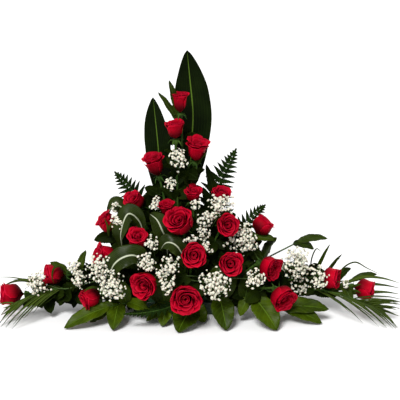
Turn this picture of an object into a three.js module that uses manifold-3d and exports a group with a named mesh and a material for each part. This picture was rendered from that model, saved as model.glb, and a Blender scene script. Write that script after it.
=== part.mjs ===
// Pyramid rose centerpiece: red roses, baby's breath and mixed foliage, standing in a block of wet
// foam in a shallow tray. Millimetres, +X right, the front faces -Y, +Z up, and the origin is the
// middle of the tray's underside.
import * as THREE from 'three';
import { mergeGeometries, mergeVertices } from 'three/addons/utils/BufferGeometryUtils.js';
import Module from 'manifold-3d';

const wasm = await Module();
wasm.setup();

// Tray and foam
const TRAY_LENGTH = 244;
const TRAY_DEPTH = 128;
const TRAY_HEIGHT = 32;
const TRAY_CORNER = 34;
const TRAY_WALL = 2.4;
const TRAY_FLOOR = 3;
const TRAY_SPLAY = 5;
const FOAM_LENGTH = 214;
const FOAM_DEPTH = 104;
const FOAM_HEIGHT = 76;
const FOAM_CORNER = 12;
const CORNER_SPLIT = 2;

// Clearance between neighbours, and the lowest that any leaf hangs
const GAP = 0.3;
const LOWEST = 4;
const MERGE = 1e-4;
const MERGE_CUT = 2e-3;

// Stems and blades
const ROSE_STEM = 2.7;
const SPRAY_STEM = 1.3;
const BRANCH_STEM = 1.8;
const STALK = 0.75;
const STALK_STEP = 3.2;
const FLORET = 7.6;
const PETAL_THICKNESS = 1.8;
const LEAF_THICKNESS = 1.8;
const WIDE_LEAF = 40;
const LEAF_SUNK = 3.2;
const ROSE_LEAF_BOW = 5;
const FROND_THICKNESS = 1.6;
const HIP_HEIGHT = 13;
const HIP_RADIUS = 7.5;
const HIP_TAPER = 18.2;
const SEPAL_LENGTH = 21;
const SEPALS = 5;
const STEM_STEP = 68;
const BEND_ROUNDS = 60;
const STRAIGHT_ENOUGH = 2;
const BLADE_CLEAR = 7;
const JOIN_STEP = 13;

// Petals of a bud, of a half open bloom and of a large open one: in the heart, outside, and the
// steps along an outer petal
const BUD = { heart: 3, outer: 3, rows: 2 };
const HALF_OPEN = { heart: 3, outer: 4, rows: 2 };
const FULL_BLOOM = { heart: 4, outer: 5, rows: 2 };

// The view that the places are read in: a square frame of 400 pixels, seen from a little above
const PIXEL = 2.3;
const VIEW_DISTANCE = 2600;
const VIEW_TILT = THREE.MathUtils.degToRad(16);
const FRAME_MIDDLE = 200;
const VIEW_TARGET = new THREE.Vector3(38, 0, 259);

const UP = new THREE.Vector3(0, 1, 0);
const GREEN = { dark: 0x14300f, mid: 0x2f6a1c, bright: 0x5f9a2b, stem: 0x6f9a3c };

function vector(x, y, z) {
  return new THREE.Vector3(x, y, z);
}

// The ray through a pixel of the frame, as a start and a step
function rayThrough(pixelX, pixelY) {
  const sine = Math.sin(VIEW_TILT);
  const cosine = Math.cos(VIEW_TILT);
  const across = ((pixelX - FRAME_MIDDLE) * PIXEL) / VIEW_DISTANCE;
  const rise = ((FRAME_MIDDLE - pixelY) * PIXEL) / VIEW_DISTANCE;
  return {
    start: VIEW_TARGET.clone().add(vector(0, -VIEW_DISTANCE * cosine, VIEW_DISTANCE * sine)),
    step: vector(across, cosine + rise * sine, rise * cosine - sine),
  };
}

// The point seen at a pixel that lies at a given depth, which is its Y
function place([pixelX, pixelY, depth]) {
  const { start, step } = rayThrough(pixelX, pixelY);
  return start.addScaledVector(step, (depth - start.y) / step.y);
}

// The point seen at a pixel that lies at a given height over the table
function placeLow(pixelX, pixelY, height = LOWEST + 1) {
  const { start, step } = rayThrough(pixelX, pixelY);
  return start.addScaledVector(step, (height - start.z) / step.z);
}

// A point of a table row: [x, y, depth] in the frame, or [x, y] for a point just over the table
function pointOf(entry) {
  return entry.length === 2 ? placeLow(entry[0], entry[1]) : place(entry);
}

// A draw between 0 and 1 that is the same on every run
function dice(seed) {
  let state = seed * 7919 + 17;
  return () => {
    state = (state * 16807) % 2147483647;
    return state / 2147483647;
  };
}

// Solids
function closedMesh(geometry, nearest) {
  const bare = new THREE.BufferGeometry();
  bare.setAttribute('position', geometry.getAttribute('position'));
  bare.setIndex(geometry.getIndex());
  const merged = mergeVertices(bare, nearest);
  const index = merged.getIndex().array;
  const kept = [];
  for (let i = 0; i < index.length; i += 3) {
    const [a, b, c] = [index[i], index[i + 1], index[i + 2]];
    if (a !== b && b !== c && a !== c) kept.push(a, b, c);
  }
  return { vertProperties: merged.getAttribute('position').array, triVerts: Uint32Array.from(kept) };
}

function solidOf(geometry, nearest = MERGE) {
  const { vertProperties, triVerts } = closedMesh(geometry, nearest);
  const made = new wasm.Manifold(new wasm.Mesh({ numProp: 3, vertProperties, triVerts }));
  if (made.volume() > 0) return made;
  const turned = triVerts.slice();
  for (let i = 0; i < turned.length; i += 3) {
    [turned[i + 1], turned[i + 2]] = [turned[i + 2], turned[i + 1]];
  }
  return new wasm.Manifold(new wasm.Mesh({ numProp: 3, vertProperties, triVerts: turned }));
}

function fuse(solids) {
  return solids.reduce((whole, next) => whole.add(next));
}

// The largest body of a cut solid; loose scraps and sealed hollows go
function wholeBody(solid) {
  const bodies = solid.decompose().filter((body) => body.volume() > 0);
  return bodies.reduce((best, body) => (body.volume() > best.volume() ? body : best));
}

// The same body with its closest vertices joined, so that no sliver is left along a cut
function settled(solid) {
  return wholeBody(solidOf(geometryOf(wholeBody(solid)), MERGE_CUT));
}

function geometryOf(solid) {
  const mesh = solid.getMesh();
  const geometry = new THREE.BufferGeometry();
  geometry.setAttribute('position', new THREE.BufferAttribute(mesh.vertProperties.slice(), 3));
  geometry.setIndex(new THREE.BufferAttribute(mesh.triVerts.slice(), 1));
  return geometry;
}

// Turns a shape made round +Y so that it stands on a point and points along a direction
function aim(geometry, foot, direction) {
  const turn = new THREE.Quaternion().setFromUnitVectors(UP, direction.clone().normalize());
  return geometry.applyQuaternion(turn).translate(foot.x, foot.y, foot.z);
}

// A line of straight steps, each of which takes the same share of the parameter
class Steps extends THREE.Curve {
  constructor(points) {
    super();
    this.points = points;
  }

  getPoint(share) {
    const last = this.points.length - 1;
    const spot = THREE.MathUtils.clamp(share, 0, 1) * last;
    const from = Math.min(Math.floor(spot), last - 1);
    return this.points[from].clone().lerp(this.points[from + 1], spot - from);
  }

  getPointAt(share) {
    return this.getPoint(share);
  }

  getTangentAt(share) {
    return this.getTangent(share);
  }
}

// The place on such a line at a distance from its start, and the one nearest to a point
function travelled(points, distance) {
  let left = distance;
  for (let i = 0; i + 1 < points.length; i += 1) {
    const length = points[i].distanceTo(points[i + 1]);
    if (left <= length) return points[i].clone().lerp(points[i + 1], left / length);
    left -= length;
  }
  return points.at(-1).clone();
}

function lengthOf(points) {
  return points.slice(1).reduce((sum, point, i) => sum + point.distanceTo(points[i]), 0);
}

function nearestOn(points, target) {
  const spots = points.slice(1).map((point, i) => (
    new THREE.Line3(points[i], point).closestPointToPoint(target, true, vector(0, 0, 0))
  ));
  return spots.reduce((best, spot) => (
    spot.distanceToSquared(target) < best.distanceToSquared(target) ? spot : best
  ));
}

// A bent stem of few sides along a list of points
function tube(points, radius, sides) {
  const section = new THREE.Shape();
  for (let side = 0; side < sides; side += 1) {
    const angle = (2 * Math.PI * (side + 0.5)) / sides;
    const corner = [radius * Math.cos(angle), radius * Math.sin(angle)];
    if (side === 0) section.moveTo(...corner);
    else section.lineTo(...corner);
  }
  section.closePath();
  const steps = points.length - 1;
  return new THREE.ExtrudeGeometry(section, { steps, bevelEnabled: false, extrudePath: new Steps(points) });
}

// A thin closed blade round a middle surface shape(u, v), u from -1 to 1 across and v from 0 at its
// base point to 1 at its tip. Both faces are split alike, and they meet along the rim.
function blade(shape, columns, rows, thickness) {
  const half = new THREE.PlaneGeometry(1, 1, columns / 2, rows);
  const sheets = [];
  for (const side of [1, -1]) {
    for (const face of [1, -1]) {
      const sheet = half.clone();
      const spots = sheet.getAttribute('position');
      for (let i = 0; i < spots.count; i += 1) {
        const u = side * (spots.getX(i) + 0.5);
        const v = spots.getY(i) + 0.5;
        const point = shape(u, v);
        const inside = Math.abs(u) < 0.999 && v > 0.001 && v < 0.999;
        if (inside) point.addScaledVector(normalAt(shape, u, v), (face * thickness) / 2);
        spots.setXYZ(i, point.x, point.y, point.z);
      }
      if (side * face < 0) sheet.setIndex(turnedIndex(sheet));
      sheets.push(sheet);
    }
  }
  return mergeGeometries(sheets);
}

function turnedIndex(geometry) {
  const turned = Array.from(geometry.getIndex().array);
  for (let i = 0; i < turned.length; i += 3) {
    [turned[i + 1], turned[i + 2]] = [turned[i + 2], turned[i + 1]];
  }
  return turned;
}

function normalAt(shape, u, v) {
  const step = 0.02;
  const across = shape(u + step, v).sub(shape(u - step, v));
  const along = shape(u, v + step).sub(shape(u, v - step));
  return across.cross(along).normalize();
}

// Outlines of leaves, as a share of the half width at v along them
function ovate(v) {
  return 2.43 * Math.max(v, 0) ** 0.55 * Math.max(1 - v, 0) ** 0.75;
}

function lance(v) {
  const along = v ** 1.2;
  const drawn = 1 - 0.7 * Math.max(0, v - 0.7);
  return 2.26 * along ** 0.5 * Math.max(0, 1 - along) ** 0.7 * drawn;
}

// The middle surface of a leaf along a curve, its upper face turned to a given side
function leafSurface({ curve, width, face, outline, fold = 0.25, wave = 0, waves = 3 }) {
  return (u, v) => {
    const along = THREE.MathUtils.clamp(v, 0, 1);
    const middle = curve.getPoint(along);
    const tangent = curve.getTangent(along);
    const side = tangent.clone().cross(face).normalize();
    const rise = side.clone().cross(tangent);
    const half = (width / 2) * outline(along);
    const lift = fold * Math.abs(u) * half + wave * u * u * Math.sin(waves * 2 * Math.PI * along);
    const point = middle.addScaledVector(side, u * half).addScaledVector(rise, lift);
    point.z = Math.max(point.z, LOWEST);
    return point;
  };
}

// A curve from base to tip that bows by a height over the straight line between them
function bowed(base, tip, bow) {
  const middle = base.clone().add(tip).multiplyScalar(0.5).add(vector(0, 0, bow));
  return new THREE.QuadraticBezierCurve3(base, middle, tip);
}

// Roses: where the middle of the bloom is seen, its depth, how it faces as [right, up, forward],
// its greatest diameter, its height and how far it is open
const ROSES = [
  { pixel: [180, 102.5], depth: 15, facing: [0, 1, 0.1], diameter: 38, height: 52, open: 0.1 },
  { pixel: [175, 130], depth: -6, facing: [-0.05, 1, 0.2], diameter: 46, height: 46, open: 0.3 },
  { pixel: [197, 150], depth: 0, facing: [0.15, 1, 0.25], diameter: 54, height: 60, open: 0.5 },
  { pixel: [155, 165], depth: 5, facing: [-0.3, 1, 0.2], diameter: 50, height: 58, open: 0.4 },
  { pixel: [193, 195], depth: -12, facing: [0, 1, 0.5], diameter: 42, height: 40, open: 0.3 },
  { pixel: [221, 196], depth: 10, facing: [0.1, 1, 0.4], diameter: 50, height: 38, open: 0.4 },
  { pixel: [135, 202], depth: 5, facing: [-0.5, 0.8, 0.45], diameter: 47, height: 46, open: 0.3 },
  { pixel: [167, 209], depth: -22, facing: [-0.1, 1, 0.3], diameter: 38, height: 40, open: 0.3 },
  { pixel: [180, 222], depth: -78, facing: [-0.35, 0.75, 0.7], diameter: 66, height: 54, open: 0.9 },
  { pixel: [227, 225], depth: -55, facing: [0.3, 0.3, 0.9], diameter: 52, height: 44, open: 0.6 },
  { pixel: [262, 226], depth: -5, facing: [0.6, 0.75, -0.1], diameter: 50, height: 48, open: 0.4 },
  { pixel: [108, 223], depth: -12, facing: [-0.65, 0.7, 0.2], diameter: 46, height: 48, open: 0.3 },
  { pixel: [138, 239], depth: -70, facing: [-0.1, 0.8, 0.6], diameter: 46, height: 46, open: 0.5 },
  { pixel: [106, 256], depth: -62, facing: [-0.85, 0.3, 0.4], diameter: 50, height: 54, open: 0.3 },
  { pixel: [194, 255], depth: -118, facing: [0.05, 0.3, 0.95], diameter: 56, height: 46, open: 0.7 },
  { pixel: [230, 264], depth: -112, facing: [0.2, 0.35, 0.9], diameter: 56, height: 46, open: 0.8 },
  { pixel: [269, 267], depth: -88, facing: [0.7, -0.1, 0.65], diameter: 54, height: 48, open: 0.6 },
  { pixel: [282, 297], depth: -126, facing: [0.5, -0.35, 0.8], diameter: 60, height: 50, open: 0.7 },
  { pixel: [186, 299], depth: -162, facing: [0.05, 0.05, 1], diameter: 72, height: 56, open: 1 },
  { pixel: [145, 285], depth: -136, facing: [-0.45, 0.1, 0.85], diameter: 61, height: 52, open: 0.7 },
  { pixel: [91, 297], depth: -110, facing: [-0.8, -0.25, 0.5], diameter: 44, height: 50, open: 0.2 },
  { pixel: [55, 274], depth: -40, facing: [-0.95, 0.1, 0.25], diameter: 48, height: 52, open: 0.2 },
  { pixel: [12, 294], depth: -40, facing: [-1, 0.05, 0.15], diameter: 52, height: 58, open: 0.2 },
  { pixel: [330, 278], depth: -45, facing: [0.95, 0, 0.3], diameter: 52, height: 44, open: 0.3 },
  { pixel: [364, 289], depth: -42, facing: [0.95, -0.1, 0.3], diameter: 50, height: 50, open: 0.2 },
];

// Rose stems that meet in the foam, by the number of their rose, and the point where they meet
const ROSE_BUNCHES = [
  { name: 'rose_stems_crown', roses: [1, 2, 3, 4], meet: [-8, 4, 34] },
  { name: 'rose_stems_right_shoulder', roses: [5, 6, 10, 11], meet: [34, 4, 36] },
  { name: 'rose_stems_left_shoulder', roses: [7, 12, 14], meet: [-52, 4, 36] },
  { name: 'rose_stems_centre', roses: [8, 9, 13], meet: [-28, -20, 42] },
  { name: 'rose_stems_front', roses: [15, 16, 19, 20], meet: [6, -30, 32] },
  { name: 'rose_stems_left', roses: [21, 22, 23], meet: [-84, -14, 34] },
  { name: 'rose_stems_right', roses: [17, 18, 24, 25], meet: [78, -14, 34] },
];

for (const [index, rose] of ROSES.entries()) {
  const [right, up, forward] = rose.facing;
  rose.number = index + 1;
  rose.name = `bloom_${String(rose.number).padStart(2, '0')}`;
  rose.axis = vector(right, -forward, up).normalize();
  rose.middle = place([...rose.pixel, rose.depth]);
  rose.foot = rose.middle.clone().addScaledVector(rose.axis, -rose.height / 2);
}

// One petal of a whorl, standing round +Y with its foot at the axis
function petalSurface({ angle, spread, belly, lip, top, roll, lean }) {
  return (u, v) => {
    const along = THREE.MathUtils.clamp(v, 0, 1);
    const opening = Math.sin(Math.min(along / 0.45, 1) * (Math.PI / 2));
    const flare = Math.max(along - 0.6, 0) / 0.4;
    const turn = angle + u * spread * Math.min(1, along * 2.6) * (1 - 0.12 * flare);
    const radius = belly * opening + (lip - belly) * flare + lean * u * along;
    const rise = top * (along ** 0.85 - roll * flare * flare - 0.13 * u * u * flare);
    return vector(radius * Math.cos(turn), rise + top * 0.04, radius * Math.sin(turn));
  };
}

function petalPlan({ diameter, open }) {
  if (diameter >= 54) return FULL_BLOOM;
  return open > 0.3 ? HALF_OPEN : BUD;
}

// The heart of a bloom: a lathed bud inside a cup whose lip is drawn up into petals
function heartSolid({ diameter, height, open }, lobes) {
  const lip = height * 0.97;
  const heart = new THREE.LatheGeometry(
    [
      new THREE.Vector2(0, 0),
      new THREE.Vector2(HIP_RADIUS - 1.5, 0),
      new THREE.Vector2(diameter * 0.31, height * 0.36),
      new THREE.Vector2(diameter * (0.3 + 0.06 * open), lip),
      new THREE.Vector2(diameter * (0.18 + 0.03 * open), height * 0.74),
      new THREE.Vector2(0, height * 0.96),
    ],
    2 * lobes,
  );
  const spots = heart.getAttribute('position');
  for (let i = 0; i < spots.count; i += 1) {
    const angle = Math.atan2(spots.getX(i), spots.getZ(i));
    const between = Math.cos(lobes * angle) < 0;
    if (Math.abs(spots.getY(i) - lip) > 0.01 || !between) continue;
    spots.setXYZ(i, spots.getX(i) * 0.88, height * 0.84, spots.getZ(i) * 0.88);
  }
  return solidOf(heart);
}

// A bloom that stands on the origin along +Y: its heart and a whorl of outer petals
function bloomSolid(rose) {
  const { diameter, height, open, number } = rose;
  const { heart, outer, rows } = petalPlan(rose);
  const parts = [heartSolid(rose, heart)];
  for (let petal = 0; petal < outer; petal += 1) {
    const surface = petalSurface({
      angle: number * 1.7 + (2 * Math.PI * petal) / outer,
      spread: 3.05 / outer,
      belly: diameter * 0.45,
      lip: diameter * (0.46 + 0.05 * open),
      top: height * (0.95 - 0.2 * open),
      roll: 0.05 + 0.12 * open,
      lean: diameter * 0.05,
    });
    parts.push(solidOf(blade(surface, 2, rows, PETAL_THICKNESS)));
  }
  return wholeBody(fuse(parts));
}

// The plain egg that a bloom fits in, for what must keep clear of it
function bloomEnvelope({ diameter, height }) {
  const reach = diameter * 0.575;
  return new THREE.LatheGeometry(
    [
      new THREE.Vector2(0, -GAP),
      new THREE.Vector2(HIP_RADIUS, -GAP),
      new THREE.Vector2(reach, height * 0.35),
      new THREE.Vector2(reach, height * 0.8),
      new THREE.Vector2(reach * 0.7, height * 1.06),
      new THREE.Vector2(0, height * 1.06),
    ],
    10,
  );
}

function placedSolid(solid, foot, axis) {
  return solidOf(aim(geometryOf(solid), foot, axis));
}

// Stems bend clear of blooms and of the stems that stand already. Each thing to keep clear of is
// a row of balls, and own names the ones that a stem may touch. A loose end moves too.
const keepClear = [];

function bendClear(line, reach, own, loose) {
  const box = new THREE.Box3().setFromPoints(line).expandByScalar(45);
  const near = keepClear.filter((ball) => !own.includes(ball.owner) && box.containsPoint(ball.middle));
  const last = line.length - 1;
  for (let round = 0; round < BEND_ROUNDS; round += 1) {
    for (let i = 0; i < last; i += 1) {
      const run = line[i + 1].clone().sub(line[i]);
      const count = Math.ceil(run.length() / 6);
      for (let spot = 0; spot <= count; spot += 1) {
        const share = spot / count;
        const point = line[i].clone().lerp(line[i + 1], share);
        for (const ball of near) {
          const away = point.clone().sub(ball.middle);
          const short = ball.radius + reach - away.length();
          if (short <= 0) continue;
          away.projectOnPlane(run).normalize().multiplyScalar(short * 0.5);
          if (i > 0) line[i].addScaledVector(away, 1 - share);
          if (i + 1 < last || loose) line[i + 1].addScaledVector(away, share);
        }
      }
    }
    for (let i = 1; i < last; i += 1) {
      const straight = line[i + 1].clone().add(line[i - 1]).multiplyScalar(0.5);
      line[i].lerp(straight, 0.06);
      line[i].z = Math.max(line[i].z, LOWEST + 3);
    }
  }
  return line;
}

// The same line without the points that hardly bend it
function straightened(line) {
  const kept = [line[0]];
  const nearest = vector(0, 0, 0);
  for (let i = 1; i + 1 < line.length; i += 1) {
    new THREE.Line3(kept.at(-1), line[i + 1]).closestPointToPoint(line[i], true, nearest);
    if (nearest.distanceTo(line[i]) > STRAIGHT_ENOUGH) kept.push(line[i]);
  }
  return [...kept, line.at(-1)];
}

// A stem's line in a few straight steps, bent clear of the rest and marked for those that follow
function stemLine(points, radius, own, { beyond = null, loose = false } = {}) {
  const curve = new THREE.CatmullRomCurve3(points, false, 'centripetal');
  const count = Math.max(2, Math.round(curve.getLength() / STEM_STEP));
  const bent = bendClear(curve.getSpacedPoints(count), radius + 1.6, own, loose);
  if (beyond) bent[count] = beyond;
  const line = straightened(bent);
  const steps = line.length - 1;
  for (let step = 0; step < steps; step += 1) {
    const spots = Math.ceil(line[step].distanceTo(line[step + 1]) / 5);
    for (let spot = 0; spot <= spots; spot += 1) {
      const middle = line[step].clone().lerp(line[step + 1], spot / spots);
      keepClear.push({ middle, radius: radius + 0.6, owner: own[0] });
    }
  }
  return line;
}

for (const rose of ROSES) {
  for (const share of [0.3, 0.62]) {
    keepClear.push({
      middle: rose.foot.clone().addScaledVector(rose.axis, rose.height * share),
      radius: rose.diameter * 0.5 + 3,
      owner: rose.name,
    });
  }
  rose.hipFoot = rose.foot.clone().addScaledVector(rose.axis, -HIP_HEIGHT);
  const bunch = ROSE_BUNCHES.find(({ roses }) => roses.includes(rose.number));
  const middle = rose.foot.clone().addScaledVector(rose.axis, -HIP_HEIGHT * 0.6);
  keepClear.push({ middle, radius: SEPAL_LENGTH * 0.8, owner: bunch.name });
}

// A rose stem from its root in the foam to its hip
function roseStem(rose, root, owner) {
  const approach = rose.hipFoot.clone().addScaledVector(rose.axis, -26);
  const middle = approach.clone().lerp(root, 0.5);
  const end = rose.hipFoot.clone().addScaledVector(rose.axis, 4);
  return stemLine([root, middle, approach, rose.hipFoot], ROSE_STEM, [owner, rose.name], { beyond: end });
}

// A hip with its sepals turned back: a lathed cup whose rim is drawn out and down into points
function hipSolid(rose, extra) {
  const rim = -GAP;
  const hip = new THREE.LatheGeometry(
    [
      new THREE.Vector2(0, -HIP_TAPER - extra),
      new THREE.Vector2(HIP_RADIUS + extra, rim),
      new THREE.Vector2(0, rim),
    ],
    2 * SEPALS,
  );
  const spots = hip.getAttribute('position');
  for (let i = 0; i < spots.count; i += 1) {
    const [x, y, z] = [spots.getX(i), spots.getY(i), spots.getZ(i)];
    const onRim = Math.abs(y - rim) < 0.01 && Math.hypot(x, z) > 1;
    const angle = Math.atan2(z, x);
    if (!onRim || Math.cos(SEPALS * (angle - Math.PI / 2)) < 0) continue;
    const reach = SEPAL_LENGTH * 0.85 + extra;
    spots.setXYZ(i, reach * Math.cos(angle), -SEPAL_LENGTH * 0.5, reach * Math.sin(angle));
  }
  return solidOf(aim(hip.rotateY(rose.number), rose.foot, rose.axis));
}

const roseLines = new Map();
for (const bunch of ROSE_BUNCHES) {
  const [first, ...others] = bunch.roses;
  const lead = roseStem(ROSES[first - 1], vector(...bunch.meet), bunch.name);
  roseLines.set(first, lead);
  others.forEach((number, i) => {
    roseLines.set(number, roseStem(ROSES[number - 1], travelled(lead, (i + 1) * JOIN_STEP), bunch.name));
  });
}

function roseBunch(bunch, extra) {
  const parts = [];
  for (const number of bunch.roses) {
    parts.push(solidOf(tube(roseLines.get(number), ROSE_STEM + extra * 1.4, 4)));
    parts.push(hipSolid(ROSES[number - 1], extra));
  }
  return fuse(parts);
}

// Tray and foam
function roundedOblong(length, depth, corner) {
  const outline = new THREE.Shape();
  const [x, y] = [length / 2 - corner, depth / 2 - corner];
  const quarter = Math.PI / 2;
  outline.moveTo(x + corner, -y);
  outline.absarc(x, y, corner, 0, quarter);
  outline.absarc(-x, y, corner, quarter, 2 * quarter);
  outline.absarc(-x, -y, corner, 2 * quarter, 3 * quarter);
  outline.absarc(x, -y, corner, 3 * quarter, 4 * quarter);
  return outline;
}

function block(length, depth, corner, low, high, splay = 0) {
  const outline = roundedOblong(length, depth, corner);
  const options = { depth: high - low, bevelEnabled: false, curveSegments: CORNER_SPLIT };
  const made = new THREE.ExtrudeGeometry(outline, options).translate(0, 0, low);
  const spots = made.getAttribute('position');
  for (let i = 0; i < spots.count; i += 1) {
    const share = (spots.getZ(i) - low) / (high - low);
    const stretchX = 1 + (2 * splay * share) / length;
    const stretchY = 1 + (2 * splay * share) / depth;
    spots.setXYZ(i, spots.getX(i) * stretchX, spots.getY(i) * stretchY, spots.getZ(i));
  }
  return solidOf(made);
}

function traySolid() {
  const outer = [TRAY_LENGTH - 2 * TRAY_SPLAY, TRAY_DEPTH - 2 * TRAY_SPLAY, TRAY_CORNER];
  const inner = outer.map((size, i) => size - (i < 2 ? 2 * TRAY_WALL : TRAY_WALL));
  const body = block(...outer, 0, TRAY_HEIGHT, TRAY_SPLAY);
  return body.subtract(block(...inner, TRAY_FLOOR, TRAY_HEIGHT + 1, TRAY_SPLAY));
}

function foamSolid() {
  const low = TRAY_FLOOR + GAP;
  return block(FOAM_LENGTH, FOAM_DEPTH, FOAM_CORNER, low, low + FOAM_HEIGHT);
}

// Long leaves of the aspidistra: points from the foam to the tip. The blade takes the part after
// its stalk, and the rest is stalk.
const LONG_LEAVES = [
  {
    name: 'aspidistra_tall_right',
    root: [14, 40, 30],
    line: [[190, 190, 44], [191, 150, 50], [193, 115, 56], [190, 80, 58], [187, 50, 60]],
    width: 86,
    rows: 7,
    face: [0.15, -1, 0.1],
  },
  {
    name: 'aspidistra_tall_left',
    root: [-32, 40, 30],
    line: [[164, 205, 40], [160, 170, 44], [158, 145, 48], [155.5, 120, 50], [153, 97, 50]],
    width: 62,
    rows: 6,
    face: [-0.25, -1, 0.1],
  },
  {
    name: 'aspidistra_loop_left',
    root: [-66, -30, 40],
    line: [[150, 268, -66], [136, 256, -100], [122, 258, -108], [112, 268, -104], [114, 280, -92]],
    width: 52,
    rows: 6,
    face: [-0.1, -0.75, 0.65],
  },
  {
    name: 'aspidistra_loop_upper_left',
    root: [-36, 14, 40],
    line: [[146, 246, -14], [140, 222, -30], [128, 214, -40], [121, 232, -44], [122, 248, -34]],
    width: 46,
    rows: 6,
    face: [-0.5, -0.8, 0.5],
  },
  {
    name: 'aspidistra_loop_centre',
    root: [-12, -6, 46],
    line: [[168, 262, -34], [166, 240, -50], [162, 230, -62], [157, 220, -58], [150, 214, -44]],
    width: 44,
    rows: 6,
    face: [0.2, -0.9, 0.4],
  },
  {
    name: 'aspidistra_loop_shoulder',
    root: [-60, 26, 40],
    line: [[142, 240, 18], [134, 218, 20], [124, 209, 20], [115, 205, 22], [108, 212, 28]],
    width: 44,
    rows: 6,
    face: [0, -0.6, 0.8],
  },
  {
    name: 'aspidistra_loop_front',
    root: [14, -14, 46],
    line: [[186, 268, -72], [181, 252, -92], [174, 244, -96], [166, 243, -90], [160, 250, -76]],
    width: 42,
    rows: 6,
    face: [0, -0.7, 0.7],
  },
];

// Fronds: a fern or palm, with the reach of its longest leaflets to each side
const FRONDS = [
  {
    name: 'fern_right',
    root: [44, 34, 30],
    line: [[208, 216, 44], [215, 190, 46], [226, 168, 42], [236, 149, 36]],
    reach: 54,
    pairs: 11,
    sweep: 0.5,
    kind: 'fern',
    face: [0, -1, 0.2],
    stem: 1.6,
  },
  {
    name: 'fern_left',
    root: [-78, 34, 30],
    line: [[152, 222, 40], [141, 202, 44], [128, 186, 42], [115, 172, 36]],
    reach: 52,
    pairs: 10,
    sweep: 0.55,
    kind: 'fern',
    face: [0, -1, 0.2],
    stem: 1.6,
  },
  {
    name: 'fern_side_right',
    root: [62, 30, 34],
    line: [[236, 236, 28], [246, 224, 31], [256, 213, 30], [265, 205, 27]],
    reach: 34,
    pairs: 8,
    sweep: 0.55,
    kind: 'fern',
    face: [-0.2, -1, 0.4],
    stem: 1.6,
  },
  {
    name: 'fern_front',
    root: [-26, -38, 38],
    line: [[176, 305, -100], [160, 310, -136], [142, 313, -146], [124, 314, -150]],
    reach: 26,
    pairs: 9,
    sweep: 0.5,
    kind: 'fern',
    face: [0, -0.5, 1],
    stem: 1.6,
  },
  {
    name: 'palm_right',
    root: [98, 4, 38],
    line: [[312, 289, -44], [338, 294, -60], [362, 302, -82], [380, 309, -102]],
    reach: 62,
    pairs: 12,
    sweep: 2.4,
    kind: 'palm',
    face: [0, -0.25, 1],
    stem: 2.4,
  },
  {
    name: 'palm_left',
    root: [-98, 4, 38],
    line: [[64, 288, -44], [48, 291, -58], [30, 296, -74], [12, 304, -90]],
    reach: 58,
    pairs: 11,
    sweep: 2.4,
    kind: 'palm',
    face: [0, -0.25, 1],
    stem: 2.4,
  },
];

// Salal and other broad leaves on branches that meet in the foam
const BRANCH_GROUPS = [
  {
    name: 'salal_front_left',
    meet: [-54, -34, 40],
    branches: [
      {
        line: [[134, 296, -84], [121, 300, -104], [108, 307, -116]],
        leaves: [
          { base: [120, 301, -106], tip: [113, 330], width: 42 },
          { base: [108, 307, -116], tip: [64, 328], width: 40 },
          { base: [114, 304, -112], tip: [90, 322], width: 38 },
          { base: [130, 297, -92], tip: [148, 312, -118], width: 32 },
          { base: [128, 298, -94], tip: [116, 280, -90], width: 38 },
        ],
      },
      {
        line: [[158, 297, -82], [163, 302, -104], [168, 308, -112]],
        leaves: [
          { base: [162, 300, -98], tip: [144, 315, -126], width: 22 },
          { base: [168, 308, -112], tip: [146, 321], width: 26 },
          { base: [167, 307, -110], tip: [162, 326], width: 34 },
          { base: [160, 299, -90], tip: [158, 270, -82], width: 44, face: [0, -1, 0.2] },
          { base: [158, 297, -82], tip: [142, 272, -74], width: 42, face: [0, -1, 0.2] },
        ],
      },
    ],
  },
  {
    name: 'salal_front_right',
    meet: [38, -36, 40],
    branches: [
      {
        line: [[196, 298, -82], [192, 309, -106]],
        leaves: [
          { base: [192, 309, -106], tip: [178, 332], width: 60 },
          { base: [193, 306, -100], tip: [205, 322], width: 40 },
          { base: [192, 300, -84], tip: [178, 270, -78], width: 38, face: [0, -1, 0.2] },
        ],
      },
      {
        line: [[219, 294, -82], [220, 299, -106]],
        leaves: [
          { base: [220, 299, -106], tip: [226.5, 330], width: 52 },
          { base: [219, 296, -92], tip: [216, 266, -76], width: 48, face: [0, -1, 0.2] },
          { base: [220, 297, -96], tip: [236, 276, -90], width: 42, face: [0, -1, 0.3] },
        ],
      },
      {
        line: [[244, 294, -82], [256, 300, -106]],
        leaves: [
          { base: [256, 300, -106], tip: [277, 330], width: 58 },
          { base: [248, 297, -92], tip: [240, 316, -112], width: 28 },
          { base: [245, 294, -84], tip: [258, 310, -118], width: 14 },
          { base: [246, 295, -86], tip: [252, 272, -80], width: 42, face: [0, -1, 0.3] },
        ],
      },
      {
        line: [[264, 299, -82], [284, 308, -98]],
        leaves: [
          { base: [284, 308, -98], tip: [322, 323], width: 38 },
          { base: [278, 305, -92], tip: [329, 309, -102], width: 44 },
        ],
      },
    ],
  },
  {
    name: 'salal_right',
    meet: [88, 18, 52],
    branches: [
      {
        line: [[252, 262, -30], [264, 255, -20], [280, 249, -8], [299, 241.5, 4]],
        leaves: [
          { base: [299, 241.5, 4], tip: [327.6, 238.3, 8], width: 22 },
          { base: [294, 244, 0], tip: [314, 249, -12], width: 24 },
          { base: [258, 259, -26], tip: [277, 238, -34], width: 36 },
        ],
      },
      {
        line: [[300, 284, -6], [326, 279, 4], [352, 281, 8]],
        leaves: [
          { base: [352, 281, 8], tip: [377, 274, 10], width: 18 },
          { base: [336, 280, 6], tip: [351, 268, 4], width: 20 },
          { base: [312, 281, 0], tip: [330, 244, 10], width: 9 },
          { base: [322, 279, 2], tip: [342, 254, 6], width: 9 },
        ],
      },
    ],
  },
];

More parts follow.
